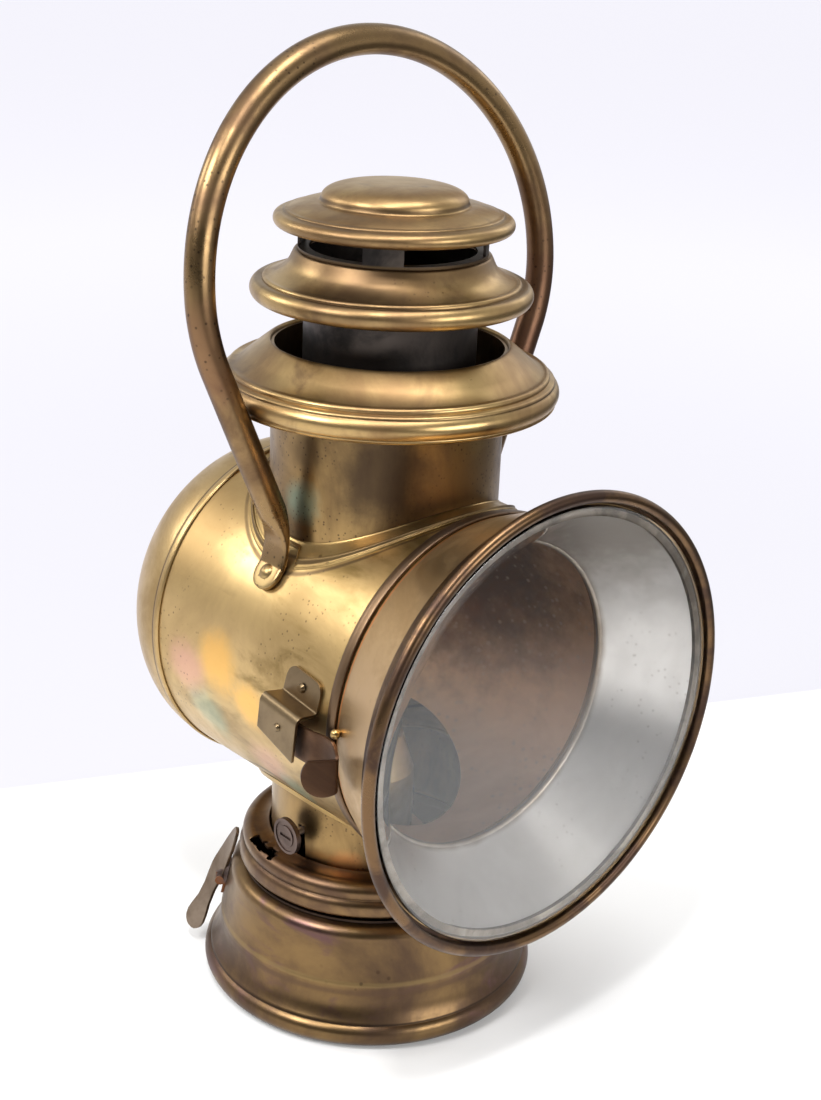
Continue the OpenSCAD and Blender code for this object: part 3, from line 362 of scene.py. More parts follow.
softbox("softbox_key", (-0.95, 0.10, 1.05), (0.5, 0.5), 13)
softbox("softbox_top", (0.10, -0.25, 1.45), (0.7, 0.4), 10)
softbox("softbox_right", (1.1, 0.15, 0.85), (0.4, 0.7), 1.5)
softbox("softbox_left_back", (-0.62, 0.85, 0.72), (0.4, 0.4), 3.5)
softbox("softbox_small", (-0.42, -0.33, 1.2), (0.10, 0.10), 5)
softbox("softbox_front", (0.15, -1.35, 0.60), (0.9, 0.5), 10)

CEILING_POWER, CEILING_WIDTH = 0.5, 60
ceiling = bpy.data.objects.new("white_ceiling", bpy.data.lights.new("white_ceiling", "SUN"))
ceiling.data.energy, ceiling.data.angle = CEILING_POWER, math.radians(CEILING_WIDTH)
ceiling.rotation_euler = (math.radians(-14), math.radians(-12), 0)
bpy.context.scene.collection.objects.link(ceiling)

# %% Room
ROOM_WALL, ROOM_TOP, ROOM_DARK, ROOM_SEEN = 0.80, 0.52, 0.05, (0.91, 0.905, 0.94)
CAMERA_WAY = (-0.661, -0.750, 0)


def studio_room():
    """World light: white walls up to a greyer ceiling, and a dark lobe on the camera's side.
    What the camera sees straight past the floor stays pale."""
    made = bpy.data.worlds.new("studio")
    made.use_nodes = True
    tree = made.node_tree
    way = node(tree, "ShaderNodeTexCoord").outputs["Generated"]
    height = node(tree, "ShaderNodeSeparateXYZ", {0: way}).outputs["Z"]
    white = eased(tree, height, 0.25, 0.8, ROOM_WALL, ROOM_TOP)
    towards = vector_maths(tree, "DOT_PRODUCT", way, CAMERA_WAY).outputs["Value"]
    lobe = maths(tree, "MULTIPLY", eased(tree, towards, -0.20, 0.60), eased(tree, height, 0.95, 0.55))
    level = node(tree, "ShaderNodeMix", {0: lobe, 2: white, 3: ROOM_DARK}).outputs[0]
    seen = node(tree, "ShaderNodeLightPath").outputs["Is Camera Ray"]
    colour = mixed(tree, seen, node(tree, "ShaderNodeCombineColor", {0: level, 1: level, 2: level}).outputs[0],
                   ROOM_SEEN)
    tree.links.new(colour, tree.nodes["Background"].inputs["Color"])
    return made


bpy.context.scene.world = studio_room()

# %% [markdown]
# ## What age does to sheet brass
# Four effects come back on every piece: cloudy tarnish, fine dark specks, satin scratches with the soft dents of
# a hundred years of hands, and a band along a seam or crease. Most bands are painted shade in creases and seams,
# some with dirt in them, and one is a painted highlight on a ridge.
# Each is a node group with its own inputs, so that one piece can be cleaner than the next.


# %% Group: cloudy tarnish
def make_tarnish():
    """Mask = smooth step of a fractal noise between Low and High. The vector is first
    stretched, which turns clouds into streaks."""
    tree, given, put = new_group(
        "cloudy_tarnish",
        {"Vector": ("vector", None), "Stretch": ("vector", (1, 1, 1)), "Scale": ("value", 40.0),
         "Low": ("value", 0.4), "High": ("value", 0.65)},
        {"Mask": "value"})
    drawn = vector_maths(tree, "MULTIPLY", given["Vector"], given["Stretch"]).outputs[0]
    noise = node(tree, "ShaderNodeTexNoise", {"Vector": drawn, "Scale": given["Scale"], "Detail": 6.0,
                                              "Roughness": 0.62, "Distortion": 0.5})
    put("Mask", eased(tree, noise.outputs[0], given["Low"], given["High"]))
    return tree


tarnish_group = make_tarnish()


# %% Group: dark specks
def make_specks():
    """Mask = 1 inside small cells of a Voronoi pattern, kept only where a noise is high."""
    tree, given, put = new_group(
        "dark_specks",
        {"Vector": ("vector", None), "Scale": ("value", 300.0), "Size": ("value", 0.2),
         "Patch": ("value", 40.0), "Amount": ("value", 0.5)},
        {"Mask": "value"})
    cells = node(tree, "ShaderNodeTexVoronoi", {"Vector": given["Vector"], "Scale": given["Scale"]})
    dot = eased(tree, cells.outputs["Distance"], given["Size"], maths(tree, "MULTIPLY", given["Size"], 0.4))
    patch = node(tree, "ShaderNodeTexNoise", {"Vector": given["Vector"], "Scale": given["Patch"],
                                              "Detail": 3.0})
    floor_value = maths(tree, "SUBTRACT", 1.0, given["Amount"])
    near = eased(tree, patch.outputs[0], floor_value, maths(tree, "ADD", floor_value, 0.12))
    put("Mask", maths(tree, "MULTIPLY", dot, near))
    return tree


speck_group = make_specks()


# %% Group: satin surface
def make_satin():
    """Dents is a broad noise, Scratches two noises drawn out along crossing directions."""
    tree, given, put = new_group(
        "satin_surface",
        {"Vector": ("vector", None), "Dent Scale": ("value", 28.0), "Scratch Scale": ("value", 260.0)},
        {"Dents": "value", "Scratches": "value"})
    broad = node(tree, "ShaderNodeTexNoise", {"Vector": given["Vector"], "Scale": given["Dent Scale"],
                                              "Detail": 1.5, "Roughness": 0.4})
    put("Dents", broad.outputs[0])
    lines = []
    for turn, draw in (((0.3, 0.5, 0.2), (1, 0.06, 1)), ((1.1, 0.2, 0.9), (0.05, 1, 1))):
        turned = node(tree, "ShaderNodeMapping", {"Vector": given["Vector"], "Rotation": turn,
                                                  "Scale": draw})
        lines.append(node(tree, "ShaderNodeTexNoise", {"Vector": turned.outputs[0],
                                                       "Scale": given["Scratch Scale"],
                                                       "Detail": 4.0, "Roughness": 0.7}).outputs[0])
    put("Scratches", maths(tree, "MULTIPLY", lines[0], lines[1]))
    return tree


satin_group = make_satin()


# %% Group: band along a seam
def make_band():
    """Mask = 1 where the point's height along the direction Along, plus its length where Flat
    keeps it, is Level, and 0 a Width away, with an edge that a noise makes uneven."""
    tree, given, put = new_group(
        "seam_band",
        {"Vector": ("vector", None), "Along": ("vector", (0, 0, 1)), "Flat": ("vector", (0, 0, 0)),
         "Level": ("value", 0.0), "Width": ("value", 0.001), "Ragged": ("value", 0.5)},
        {"Mask": "value"})
    height = vector_maths(tree, "DOT_PRODUCT", given["Vector"], given["Along"]).outputs["Value"]
    kept = vector_maths(tree, "MULTIPLY", given["Vector"], given["Flat"]).outputs[0]
    round_axis = node(tree, "ShaderNodeVectorMath", {0: kept}, operation="LENGTH").outputs["Value"]
    height = maths(tree, "ADD", height, round_axis)
    off = maths(tree, "ABSOLUTE", maths(tree, "SUBTRACT", height, given["Level"]))
    noise = node(tree, "ShaderNodeTexNoise", {"Vector": given["Vector"], "Scale": 160.0, "Detail": 4.0})
    shift = maths(tree, "MULTIPLY", maths(tree, "SUBTRACT", noise.outputs[0], 0.5), given["Ragged"])
    share = maths(tree, "ADD", maths(tree, "DIVIDE", off, given["Width"]), shift)
    put("Mask", eased(tree, share, 1.0, 0.15))
    return tree


band_group = make_band()


# %% Group: round patch
def make_patch():
    """Mask = 1 near Centre and 0 a Radius away, broken up by a noise."""
    tree, given, put = new_group(
        "round_patch",
        {"Vector": ("vector", None), "Centre": ("vector", (0, 0, 0)), "Radius": ("value", 0.02),
         "Scale": ("value", 90.0), "Ragged": ("value", 0.8)},
        {"Mask": "value"})
    away = vector_maths(tree, "DISTANCE", given["Vector"], given["Centre"]).outputs["Value"]
    noise = node(tree, "ShaderNodeTexNoise", {"Vector": given["Vector"], "Scale": given["Scale"],
                                              "Detail": 5.0, "Roughness": 0.65})
    shift = maths(tree, "MULTIPLY", maths(tree, "SUBTRACT", noise.outputs[0], 0.5), given["Ragged"])
    share = maths(tree, "ADD", maths(tree, "DIVIDE", away, given["Radius"]), shift)
    put("Mask", eased(tree, share, 1.0, 0.3))
    return tree


patch_group = make_patch()
print("groups:", [g.name for g in bpy.data.node_groups])

# %% [markdown]
# ## One recipe for all the metals
# Brass, bronze, sooted brass, steel and silver differ in colour, in how cloudy they are and in
# how sharply they reflect. One function takes these as values and returns a finished material,
# so the pieces can share a look and still differ.


# %% The metal recipe
ROUND = (0, 0, 0)


def metal(name, clean, worn, dark, rough=0.3, cloud=(34, 0.42, 0.66), stretch=(1, 1, 1),
          rough_gain=0.14, specks=(260, 0.22, 0.42), speck_share=0.6, dents=0.25, scratches=0.6,
          bands=(), patches=(), streaks=None, metallic=1.0):
    """Colour: clean, clouded by worn, then bands and patches over it, all dotted by dark.
    Bands are (direction, level in mm, width in mm, colour, share), where ROUND measures from the
    chimney's axis; patches are (centre in mm, radius in mm, colour, share)."""
    made = bpy.data.materials.new(name)
    made.use_nodes = True
    tree = made.node_tree
    shader = tree.nodes["Principled BSDF"]
    place = node(tree, "ShaderNodeTexCoord").outputs["Object"]
    clouds = use_group(tree, tarnish_group, {"Vector": place, "Scale": cloud[0], "Low": cloud[1],
                                             "High": cloud[2], "Stretch": stretch})["Mask"]
    colour = mixed(tree, clouds, clean, worn)
    if streaks:
        scale, low, high, shape, tint = streaks
        lines = use_group(tree, tarnish_group, {"Vector": place, "Scale": scale, "Low": low,
                                                "High": high, "Stretch": shape})["Mask"]
        colour = mixed(tree, lines, colour, tint)
    dull = clouds
    # Bands and patches hold tarnish and stains, and also painted shade, painted highlights and painted
    # reflections.
    for along, level, width, tint, share in bands:
        flat = (1, 1, 0) if along == ROUND else (0, 0, 0)
        mask = use_group(tree, band_group, {"Vector": place, "Along": along, "Flat": flat,
                                            "Level": level * MM, "Width": width * MM})["Mask"]
        mask = maths(tree, "MULTIPLY", mask, share)
        colour = mixed(tree, mask, colour, tint)
        dull = maths(tree, "MAXIMUM", dull, mask)
    for centre, radius, tint, share in patches:
        mask = use_group(tree, patch_group, {"Vector": place, "Radius": radius * MM,
                                             "Centre": tuple(c * MM for c in centre)})["Mask"]
        mask = maths(tree, "MULTIPLY", mask, share)
        colour = mixed(tree, mask, colour, tint)
        dull = maths(tree, "MAXIMUM", dull, mask)
    dots = use_group(tree, speck_group, {"Vector": place, "Scale": specks[0], "Size": specks[1],
                                         "Amount": specks[2]})["Mask"]
    colour = mixed(tree, maths(tree, "MULTIPLY", dots, speck_share), colour, dark)
    skin = use_group(tree, satin_group, {"Vector": place})
    lowered = node(tree, "ShaderNodeBump", {"Strength": 1.0, "Distance": dents * MM,
                                            "Height": skin["Dents"]})
    scored = node(tree, "ShaderNodeBump", {"Strength": 1.0, "Distance": scratches * 0.05 * MM,
                                           "Height": skin["Scratches"],
                                           "Normal": lowered.outputs[0]})
    shine = maths(tree, "ADD", maths(tree, "MULTIPLY", dull, rough_gain), rough)
    fine = maths(tree, "MULTIPLY", skin["Scratches"], 0.18)
    tree.links.new(colour, shader.inputs["Base Color"])
    tree.links.new(maths(tree, "ADD", shine, fine, clamp=True), shader.inputs["Roughness"])
    tree.links.new(scored.outputs[0], shader.inputs["Normal"])
    shader.inputs["Metallic"].default_value = metallic
    return made


def paint(finish, *names):
    """Gives solids of the frame a finish. Their shapes stay as they are."""
    for name in names:
        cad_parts[name].data.materials.clear()
        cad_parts[name].data.materials.append(finish)
    print(f"{finish.name}: {', '.join(names)}")


# %% [markdown]
# ## The finishes
# Lacquer keeps the canopies and the drum golden. The handle, the collar, the font and the rim
# have been handled and cleaned more, and went brown. Soot blackened the chimney tube.

# %% Colours
GOLD, GOLD_WEAR_AND_SHADE, GOLD_DARK = (0.57, 0.395, 0.175), (0.33, 0.215, 0.09), (0.075, 0.047, 0.027)
BROWN, BROWN_WORN, BROWN_DARK = (0.33, 0.20, 0.10), (0.20, 0.115, 0.06), (0.04, 0.026, 0.018)
COPPER, PINK, TEAL, GREEN = (0.66, 0.27, 0.09), (0.62, 0.33, 0.27), (0.30, 0.46, 0.36), (0.22, 0.29, 0.21)
ORANGE = (0.83, 0.47, 0.12)
SOOT, SOOT_WORN = (0.085, 0.07, 0.062), (0.03, 0.027, 0.026)
SILVER, SILVER_WORN, SILVER_BROWN = (0.82, 0.80, 0.785), (0.64, 0.62, 0.60), (0.23, 0.165, 0.13)
UP, AHEAD = (0, 0, 1), (0, -1, 0)
CAP_DOME_R, CAP_DOME_H, CAP_BRIM_R, CAP_ROLL = 21.7, 5.6, 31.4, 2.1
cap_z = CAP_TOP - CAP_DOME_H
SLEEVE_BACK = RIM_H - 8.0

# %% Brass of the drum, the necks and the chimney
# The dark rings round the flanges' edges and behind the mouth band are painted shade with some dirt. The darker
# patch high on the left side is painted shade that tones down a highlight. The orange, pink and teal patches are
# coloured tarnish.
drum_brass = metal(
    "drum_brass", GOLD, (0.36, 0.245, 0.105), GOLD_DARK, rough=0.25, cloud=(21, 0.34, 0.68),
    streaks=(70, 0.50, 0.72, (1, 0.35, 1), (0.25, 0.165, 0.06)), specks=(520, 0.24, 0.5),
    bands=[(ROUND, 41.5, 0.8, GOLD_DARK, 0.75), (ROUND, 37.8, 0.7, GOLD_DARK, 0.6),
           (AHEAD, DRUM_FRONT - 4.6, 0.6, GOLD_DARK, 0.7)],
    patches=[((-40, 38, 150), 24, GOLD_WEAR_AND_SHADE, 0.8), ((-53, 12, 117), 13, ORANGE, 0.75),
             ((-53, -4, 109), 10, ORANGE, 0.7), ((-53, 28, 110), 13, PINK, 0.6),
             ((-50, 20, 97), 13, TEAL, 0.35), ((-46, -6, 88), 12, PINK, 0.45),
             ((-42, -14, 82), 10, TEAL, 0.5), ((-20, 20, 62), 30, GOLD_WEAR_AND_SHADE, 0.5)])
# The dark band along the dome's lip is a painted contact shadow.
dome_brass = metal("dome_brass", (0.50, 0.35, 0.165), (0.35, 0.235, 0.10), GOLD_DARK, rough=0.27,
                   bands=[(AHEAD, -45.2, 0.5, GOLD_DARK, 0.7)])
# The green patch is verdigris. The two large dark patches on the neck's front and right are painted reflections
# of the dark room.
neck_brass = metal(
    "neck_brass", (0.31, 0.20, 0.082), (0.12, 0.074, 0.036), GOLD_DARK, rough=0.25,
    cloud=(38, 0.36, 0.64), stretch=(1, 1, 0.35), specks=(640, 0.28, 0.58), speck_share=0.85,
    patches=[((-34, -3, 168), 9, GREEN, 0.75), ((-34, -5, 184), 9, GOLD_DARK, 0.6),
             ((-23, -26, 180), 21, (0.055, 0.036, 0.024), 0.85), ((3, -34, 176), 16, (0.15, 0.09, 0.042), 0.75),
             ((-26, -19, 51), 8, COPPER, 0.5)])
# Its two dark rings are painted shade in the grooves beside the flange's raised line.
saddle_brass = metal("saddle_brass", (0.42, 0.285, 0.115), (0.23, 0.15, 0.065), GOLD_DARK, rough=0.27,
                     bands=[(ROUND, 39.8, 0.5, GOLD_DARK, 0.7), (ROUND, 38.6, 0.4, GOLD_DARK, 0.5)])
# The thin dark rings at the dome's foot and in the creases are painted crease shade with some dirt. The broad
# ring on the middle canopy's top is soot. The dark patch on the middle canopy's front left is soot and painted
# shade, and the patch on the lowest canopy's right front is painted shade over a highlight.
canopy_brass = metal(
    "canopy_brass", (0.50, 0.345, 0.15), (0.26, 0.162, 0.075), GOLD_DARK, rough=0.24,
    cloud=(24, 0.34, 0.64), streaks=(60, 0.50, 0.72, (1, 1, 0.4), (0.21, 0.132, 0.066)),
    specks=(480, 0.2, 0.46),
    bands=[(UP, cap_z + 0.6, 0.9, GOLD_DARK, 0.75), (UP, cap_z - 2.8, 0.5, GOLD_DARK, 0.5),
           (UP, MID_TOP - 8.6, 0.6, GOLD_DARK, 0.5), (UP, SKIRT_TOP - 10.0, 0.7, GOLD_DARK, 0.5),
           (UP, MID_TOP - 1.0, 3.2, (0.17, 0.105, 0.052), 0.7)],
    patches=[((-26, -14, MID_TOP - 4), 24, (0.13, 0.08, 0.042), 0.8),
             ((-38, 20, SKIRT_TOP - 9), 16, (0.16, 0.10, 0.055), 0.5),
             ((40, -22, SKIRT_TOP - 8), 18, (0.22, 0.14, 0.07), 0.6)])
# The copper line marks the cone's back edge. The dark line just behind the rim's sleeve is painted shade at its
# step.
cone_brass = metal(
    "cone_brass", (0.54, 0.37, 0.19), (0.38, 0.25, 0.12), GOLD_DARK, rough=0.29,
    bands=[(AHEAD, CONE_BACK_H + 0.5, 0.7, COPPER, 0.9), (AHEAD, SLEEVE_BACK - 0.5, 0.5, GOLD_DARK, 0.6)])

# %% Bronze, soot, steel and silver
bronze = metal("brown_bronze", BROWN, BROWN_WORN, BROWN_DARK, rough=0.25)
# The dark ring just behind the bead is painted shade where the bead meets its sleeve.
rim_bronze = metal("rim_bronze", (0.15, 0.088, 0.045), (0.07, 0.042, 0.03), BROWN_DARK, rough=0.24,
                   cloud=(60, 0.40, 0.62), bands=[(AHEAD, RIM_H - 3.2, 1.3, BROWN_DARK, 0.7)])
band_bronze = metal("band_bronze", (0.15, 0.095, 0.055), (0.085, 0.055, 0.04), BROWN_DARK, rough=0.33)
handle_bronze = metal(
    "handle_bronze", (0.25, 0.16, 0.075), (0.13, 0.078, 0.042), BROWN_DARK, rough=0.23,
    specks=(500, 0.26, 0.5), speck_share=0.75,
    patches=[((66, 0, 205), 55, (0.11, 0.055, 0.036), 0.85), ((-66, 0, 215), 22, (0.15, 0.07, 0.045), 0.5),
             ((-44, 0, 144), 9, (0.40, 0.285, 0.125), 0.8), ((44, 0, 144), 9, (0.40, 0.285, 0.125), 0.8)])
# The light ring on the ridge is a painted highlight and the dark ring under it is painted shade. The dark base
# and the thin line in the foot roll's crease are painted shade. The streaks are tarnish.
font_bronze = metal(
    "font_bronze", (0.205, 0.128, 0.056), (0.085, 0.052, 0.034), BROWN_DARK, rough=0.25,
    cloud=(20, 0.34, 0.64), streaks=(34, 0.52, 0.70, (1, 1, 2.2), (0.12, 0.066, 0.062)),
    bands=[(UP, 20.3, 1.2, (0.30, 0.21, 0.09), 0.4), (UP, 17.6, 1.6, (0.10, 0.06, 0.04), 0.55),
           (UP, 0.0, 3.6, (0.06, 0.04, 0.03), 0.8), (UP, 8.2, 0.5, BROWN_DARK, 0.85)])
# The dark ring is painted shade in the groove under the shoulder.
collar_bronze = metal("collar_bronze", (0.22, 0.135, 0.062), (0.105, 0.062, 0.04), BROWN_DARK, rough=0.22,
                      cloud=(30, 0.36, 0.62), bands=[(UP, 45.6, 0.5, BROWN_DARK, 0.6)])
# Near black, so that the font's top plate shows as painted shade in the gap under the collar.
seat_dark = metal("seat_dark", (0.06, 0.04, 0.03), (0.03, 0.02, 0.016), BROWN_DARK, rough=0.45)
latch_bronze = metal("latch_bronze", (0.19, 0.135, 0.075), (0.11, 0.075, 0.042), BROWN_DARK, rough=0.3)
# The sprung strip is darker than the cover: its colour holds painted shade for the shadow it lies in.
thumb_bronze = metal("thumb_bronze", (0.11, 0.058, 0.032), (0.06, 0.033, 0.021), BROWN_DARK, rough=0.34)
knob_grey = metal("knob_grey", (0.13, 0.092, 0.078), (0.075, 0.053, 0.045), (0.05, 0.04, 0.035), rough=0.38)
pewter = metal("pewter_brown", (0.24, 0.185, 0.14), (0.14, 0.10, 0.07), BROWN_DARK, rough=0.33)
rusty = metal("rusty_steel", (0.14, 0.105, 0.095), (0.24, 0.10, 0.045), (0.04, 0.03, 0.03), rough=0.5,
              cloud=(120, 0.45, 0.6), metallic=0.8)
soot = metal("sooted_brass", SOOT, SOOT_WORN, (0.01, 0.01, 0.01), rough=0.36)
steel = metal("tarnished_steel", (0.30, 0.26, 0.24), (0.16, 0.13, 0.115), (0.04, 0.03, 0.03), rough=0.38)
burner_brass = metal("burner_brass", (0.62, 0.47, 0.27), (0.36, 0.26, 0.14), GOLD_DARK, rough=0.35)
HOOD_BACK = -edges("hood_reflector")[1][1]
# The brown band at the hood's back edge is painted shade where the hood meets the bowl. The patch near the top
# is tarnish.
silver = metal("silvered_hood", SILVER, SILVER_WORN, (0.40, 0.36, 0.33), rough=0.28,
               cloud=(16, 0.32, 0.70), specks=(420, 0.25, 0.5), speck_share=0.35,
               bands=[(AHEAD, HOOD_BACK + 1.0, 2.6, (0.30, 0.235, 0.17), 0.95)],
               patches=[((34, -60, 172), 42, (0.34, 0.305, 0.27), 0.85)])
retainer_silver = metal("retainer_silver", (0.33, 0.28, 0.225), (0.17, 0.135, 0.10), (0.12, 0.09, 0.07),
                        rough=0.35, cloud=(90, 0.35, 0.62))
# The dark band at the bowl's lip is painted shade where it meets the hood. The two large dark patches are partly
# tarnish and partly a painted dark reflection.
bowl_silver = metal(
    "silvered_bowl", (0.93, 0.72, 0.50), (0.74, 0.52, 0.34), (0.66, 0.54, 0.42), rough=0.40,
    cloud=(20, 0.32, 0.66), specks=(330, 0.30, 0.62), speck_share=0.55,
    bands=[(AHEAD, DRUM_FRONT - 0.9, 1.6, (0.26, 0.19, 0.13), 0.95)],
    patches=[((46, 8, 134), 60, (0.15, 0.075, 0.04), 0.95), ((46, 22, 108), 30, (0.20, 0.085, 0.035), 0.85)])
gallery_soot = metal("gallery_soot", (0.10, 0.082, 0.07), SOOT_WORN, (0.01, 0.01, 0.01), rough=0.36,
                     bands=[(UP, MID_TOP + 0.2, 0.9, (0.13, 0.085, 0.045), 0.9)])


# %% Glass and wick
def clear_glass():
    """A plain transmissive shader with the index of old plate glass."""
    made = bpy.data.materials.new("plate_glass")
    made.use_nodes = True
    shader = made.node_tree.nodes["Principled BSDF"]
    shader.inputs["Base Color"].default_value = (0.985, 0.98, 0.97, 1)
    shader.inputs["Roughness"].default_value = 0.02
    shader.inputs["IOR"].default_value = 1.5
    shader.inputs["Transmission Weight"].default_value = 1.0
    shader.inputs["Specular IOR Level"].default_value = 0.3
    tree = made.node_tree
    place = node(tree, "ShaderNodeTexCoord").outputs["Object"]
    waves = node(tree, "ShaderNodeTexNoise", {"Vector": place, "Scale": 45.0, "Detail": 1.0})
    slow = node(tree, "ShaderNodeBump", {"Strength": 1.0, "Distance": 0.02 * MM,
                                         "Height": waves.outputs[0]})
    tree.links.new(slow.outputs[0], shader.inputs["Normal"])
    return made


def woven_cotton():
    """Two crossing waves of threads, browned towards the burnt top."""
    made = bpy.data.materials.new("woven_cotton")
    made.use_nodes = True
    tree = made.node_tree
    shader = tree.nodes["Principled BSDF"]
    place = node(tree, "ShaderNodeTexCoord").outputs["Object"]
    warp, weft = (node(tree, "ShaderNodeTexWave", {"Vector": place, "Scale": 420.0},
                       bands_direction=way).outputs[1] for way in ("X", "Z"))
    weave = maths(tree, "MULTIPLY", warp, weft)
    colour = mixed(tree, weave, (0.45, 0.38, 0.28), (0.76, 0.70, 0.58))
    burnt = use_group(tree, band_group, {"Vector": place, "Level": 95 * MM, "Width": 6 * MM})["Mask"]
    tree.links.new(mixed(tree, burnt, colour, (0.03, 0.025, 0.02)), shader.inputs["Base Color"])
    relief = node(tree, "ShaderNodeBump", {"Distance": 0.2 * MM, "Height": weave})
    tree.links.new(relief.outputs[0], shader.inputs["Normal"])
    shader.inputs["Roughness"].default_value = 0.9
    return made


glass = clear_glass()
cotton = woven_cotton()

# %% Paint the solids that stay
paint(drum_brass, "drum_shell")
paint(neck_brass, "upper_neck")
paint(cone_brass, "door_cone")
paint(seat_dark, "font_top")
paint(retainer_silver, "glass_retainer")
paint(bronze, "door_ring", "drum_hinge_leaf", "door_hinge_leaf", "font_bottom")
paint(saddle_brass, "latch_stud")
paint(latch_bronze, "latch_rivets")
paint(handle_bronze, "handle_rivets")
paint(knob_grey, "wick_knob")
paint(rusty, "clip_bracket", "clip_pin")
paint(soot, "chimney_tube", "chimney_spider")
paint(gallery_soot, "crown_gallery")
paint(steel, "hinge_pin", "wick_spindle")
paint(burner_brass, "burner_body", "burner_collar", "wick_tube")
paint(silver, "hood_reflector")
paint(cotton, "wick")

# %% [markdown]
# ## Spun canopies
# A canopy is a disc of sheet pressed over a turning former. Its profile is drawn once, with the
# crease and the rolled edge that stiffen it, given the sheet's thickness and spun. A profile of
# rounded corners reads as real metal, because the light runs round each of them.

# %% Lowest canopy
SKIRT_CREASE = (46.6, SKIRT_TOP - 8.0)
CANOPY_SHEET = 0.7
SKIRT_ROLL_R, SKIRT_ROLL = 47.0, 3.5
skirt_roll_z = SKIRT_TOP - 13.1
skirt_face = np.concatenate([
    softened([(NECK_R + FIT, SKIRT_TOP - 7), (NECK_R + FIT, SKIRT_TOP - 0.2), (NECK_R + 1.0, SKIRT_TOP),
              (NECK_R + 5.0, SKIRT_TOP - 3.2), (SKIRT_CREASE[0] - 2.0, SKIRT_CREASE[1] + 0.6)], 1.6),
    arc((SKIRT_CREASE[0] - 0.2, SKIRT_CREASE[1] - 0.5), 1.1, 110, -20, 9),
    arc((SKIRT_CREASE[0] + 1.6, SKIRT_CREASE[1] - 2.1), 0.9, 80, -10, 7),
    arc((SKIRT_ROLL_R, skirt_roll_z), SKIRT_ROLL, 52, -58, 22),
    arc((SKIRT_ROLL_R + 1.5, skirt_roll_z - SKIRT_ROLL + 0.55), 0.9, 25, -100, 10)])
piece("canopy_low", "head", canopy_brass, *spun(sheet(skirt_face, CANOPY_SHEET)),
      stands_for=("chimney_skirt",))

# %% Middle canopy
MID_EDGE_R, MID_CREASE = 28.4, (36.9, MID_TOP - 7.9)
MID_ROLL_R, MID_ROLL = 38.1, 3.1
mid_roll_z = MID_TOP - 11.4
mid_face = np.concatenate([
    softened([(TUBE_R + FIT, MID_TOP), (MID_EDGE_R, MID_TOP), (MID_EDGE_R + 1.6, MID_TOP - 3.4)], 0.8),
    bend((MID_EDGE_R + 2.0, MID_TOP - 4.0), (MID_EDGE_R + 3.8, MID_TOP - 6.3),
         (MID_CREASE[0] - 1.2, MID_CREASE[1] + 0.4), 12)[1:],
    arc((MID_CREASE[0] - 0.3, MID_CREASE[1] - 0.7), 1.0, 105, 0, 8),
    arc((MID_ROLL_R, mid_roll_z), MID_ROLL, 68, -95, 24)])
piece("canopy_middle", "head", canopy_brass, *spun(sheet(mid_face, CANOPY_SHEET)),
      stands_for=("middle_canopy",))

# %% Cap
cap_face = np.concatenate([
    [(0.0, CAP_TOP)], bend((7.0, CAP_TOP - 0.1), (CAP_DOME_R - 1.0, CAP_TOP - 0.5),
                           (CAP_DOME_R - 0.5, cap_z + 0.9), 22),
    arc((CAP_DOME_R + 0.5, cap_z + 0.5), 0.8, 200, 262, 6),
    bend((CAP_DOME_R + 1.4, cap_z - 0.2), (CAP_DOME_R + 6.0, cap_z - 0.9),
         (CAP_BRIM_R - 1.0, cap_z - 2.4), 12),
    arc((CAP_BRIM_R - 0.6, cap_z - 3.1), 0.75, 80, 20, 6),
    arc((CAP_BRIM_R + 1.2, cap_z - 3.2 - CAP_ROLL), CAP_ROLL, 98, -95, 20)])
cap_loop = sheet(cap_face[1:], CANOPY_SHEET)
cap_closed = np.concatenate([cap_face[:1], cap_face[1:], cap_loop[len(cap_face) - 1:-6],
                             [(0.0, CAP_TOP - CANOPY_SHEET)]])
piece("cap_top", "head", canopy_brass, *spun(cap_closed, closed=False), stands_for=("top_cap",))

# %% [markdown]
# ## The domed back of the drum
# The dome is a deep cup pushed over the end of the drum. Its lip stands a little proud all round, and a fine
# dark line painted along it is the lip's contact shadow. A low bead runs beside it.

# %% Dome
DOME_SHEET = 0.5
DOME_DEPTH = 38.0
dome_seam_y = edges("rear_dome")[0][1]
dome_lip_r = DRUM_R + FIT + DOME_SHEET
DOME_LIP = 2.5
a = np.radians(np.linspace(0, 90, 60))
oval = np.stack([dome_lip_r * np.cos(a) ** 0.9, -(dome_seam_y + DOME_LIP) - DOME_DEPTH * np.sin(a)], 1)
oval[-1, 0] = 0
lip_face = softened([(dome_lip_r - 0.2, -dome_seam_y), (dome_lip_r + 0.25, -dome_seam_y - 0.5),
                     (dome_lip_r + 0.25, -dome_seam_y - 1.9), (dome_lip_r, -dome_seam_y - DOME_LIP)], 0.4)
inner = oval * [1 - DOME_SHEET / dome_lip_r, 1] + [0, DOME_SHEET]
dome_loop = np.concatenate([oval[:0:-1], lip_face[::-1], [(DRUM_R + FIT, -dome_seam_y)], inner])
grid, quads = spun(dome_loop, closed=False)
piece("dome_rear", "head", dome_brass, on_drum(grid), quads, stands_for=("rear_dome",))

# %% [markdown]
# ## Flanges that follow the drum
# Each neck is soldered to the drum by a flange. Seen from above it is a plain ring, but it
# wraps over a cylinder. So the ring is drawn in plan, and the height comes from the drum's
# circle: z = axis + sqrt((R + n)^2 - x^2), where n is how far the metal stands off the drum.


